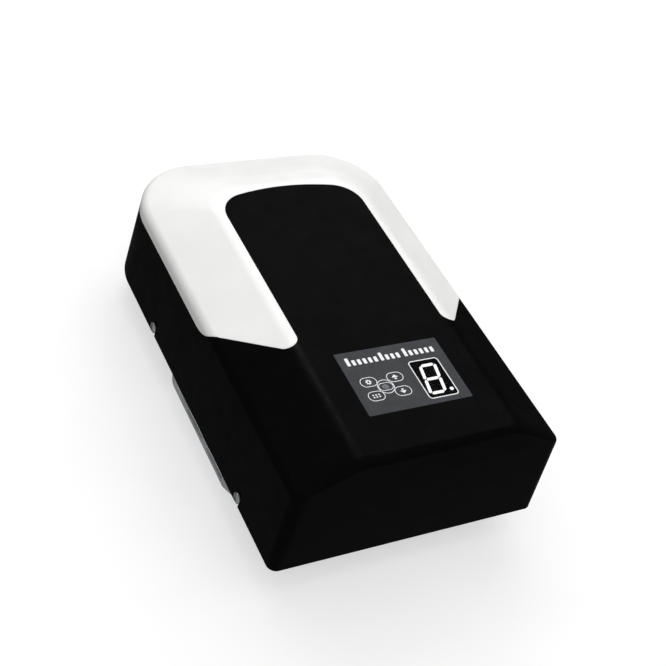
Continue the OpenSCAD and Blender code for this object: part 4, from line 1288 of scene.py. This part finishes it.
def sky():
    """Soft dome, bright overhead and dim from the horizon down. The camera sees it white, and glossy
    surfaces see a dim surround that brightens towards the front left."""
    world = bpy.data.worlds.new("studio")
    bpy.context.scene.world = world
    world.use_nodes = True
    tree = world.node_tree
    back = tree.nodes["Background"]
    back.inputs["Color"].default_value = (1, 1, 1, 1)
    place = tree.nodes.new("ShaderNodeTexCoord")
    split = tree.nodes.new("ShaderNodeSeparateXYZ")
    tree.links.new(place.outputs["Generated"], split.inputs[0])
    height = tree.nodes.new("ShaderNodeMapRange")
    height.inputs["To Min"].default_value = SKY_HORIZON
    height.inputs["To Max"].default_value = SKY_ZENITH
    tree.links.new(split.outputs["Z"], height.inputs["Value"])
    rays = tree.nodes.new("ShaderNodeLightPath")
    lean = tree.nodes.new("ShaderNodeVectorMath")
    lean.operation = "DOT_PRODUCT"
    lean.inputs[1].default_value = SKY_GLOSS_LEAN
    tree.links.new(place.outputs["Generated"], lean.inputs[0])
    gloss = tree.nodes.new("ShaderNodeMath")
    gloss.inputs[1].default_value = SKY_GLOSS
    tree.links.new(lean.outputs["Value"], gloss.inputs[0])
    value = height.outputs["Result"]
    for ray, seen in (("Is Glossy Ray", gloss.outputs[0]), ("Is Camera Ray", None)):
        mix = tree.nodes.new("ShaderNodeMix")
        tree.links.new(rays.outputs[ray], mix.inputs[0])
        tree.links.new(value, mix.inputs[2])
        if seen:
            tree.links.new(seen, mix.inputs[3])
        else:
            mix.inputs[3].default_value = 1
        value = mix.outputs[0]
    tree.links.new(value, back.inputs["Strength"])


def studio():
    bpy.context.scene.view_settings.view_transform = "Standard"
    sky()
    floor()
    softbox("overhead_light", azimuth=42, elevation=42, distance=2.4, size=(1.5, 1.3), radiance=1.2)
    strip = softbox("ridge_light", azimuth=2, elevation=48, distance=2.4, size=(0.30, 1.0), radiance=22)
    strip.visible_diffuse = False
    fill = softbox("rear_light", azimuth=0, elevation=74, distance=0.75, size=(0.5, 0.3), radiance=2.3,
                   target=(0, 0.14, 0.1))
    fill.visible_glossy = False


def camera():
    data = bpy.data.cameras.new("camera")
    data.lens = CAMERA_LENS
    data.sensor_width = 36
    obj = placed("camera", data)
    azimuth, elevation, roll = [radians(a) for a in (CAMERA_AZIMUTH, CAMERA_ELEVATION, CAMERA_ROLL)]
    forward = Vector((-sin(azimuth) * cos(elevation), cos(azimuth) * cos(elevation), -sin(elevation)))
    right = forward.cross(Vector((0, 0, 1))).normalized()
    up = right.cross(forward)
    turned_right = right * cos(roll) + up * sin(roll)
    turned_up = up * cos(roll) - right * sin(roll)
    spin = Matrix((turned_right, turned_up, -forward)).transposed()
    obj.matrix_world = Matrix.Translation(CAMERA_AT) @ spin.to_4x4()
    data.clip_start, data.clip_end = 0.05, 50
    bpy.context.scene.camera = obj


studio()
camera()
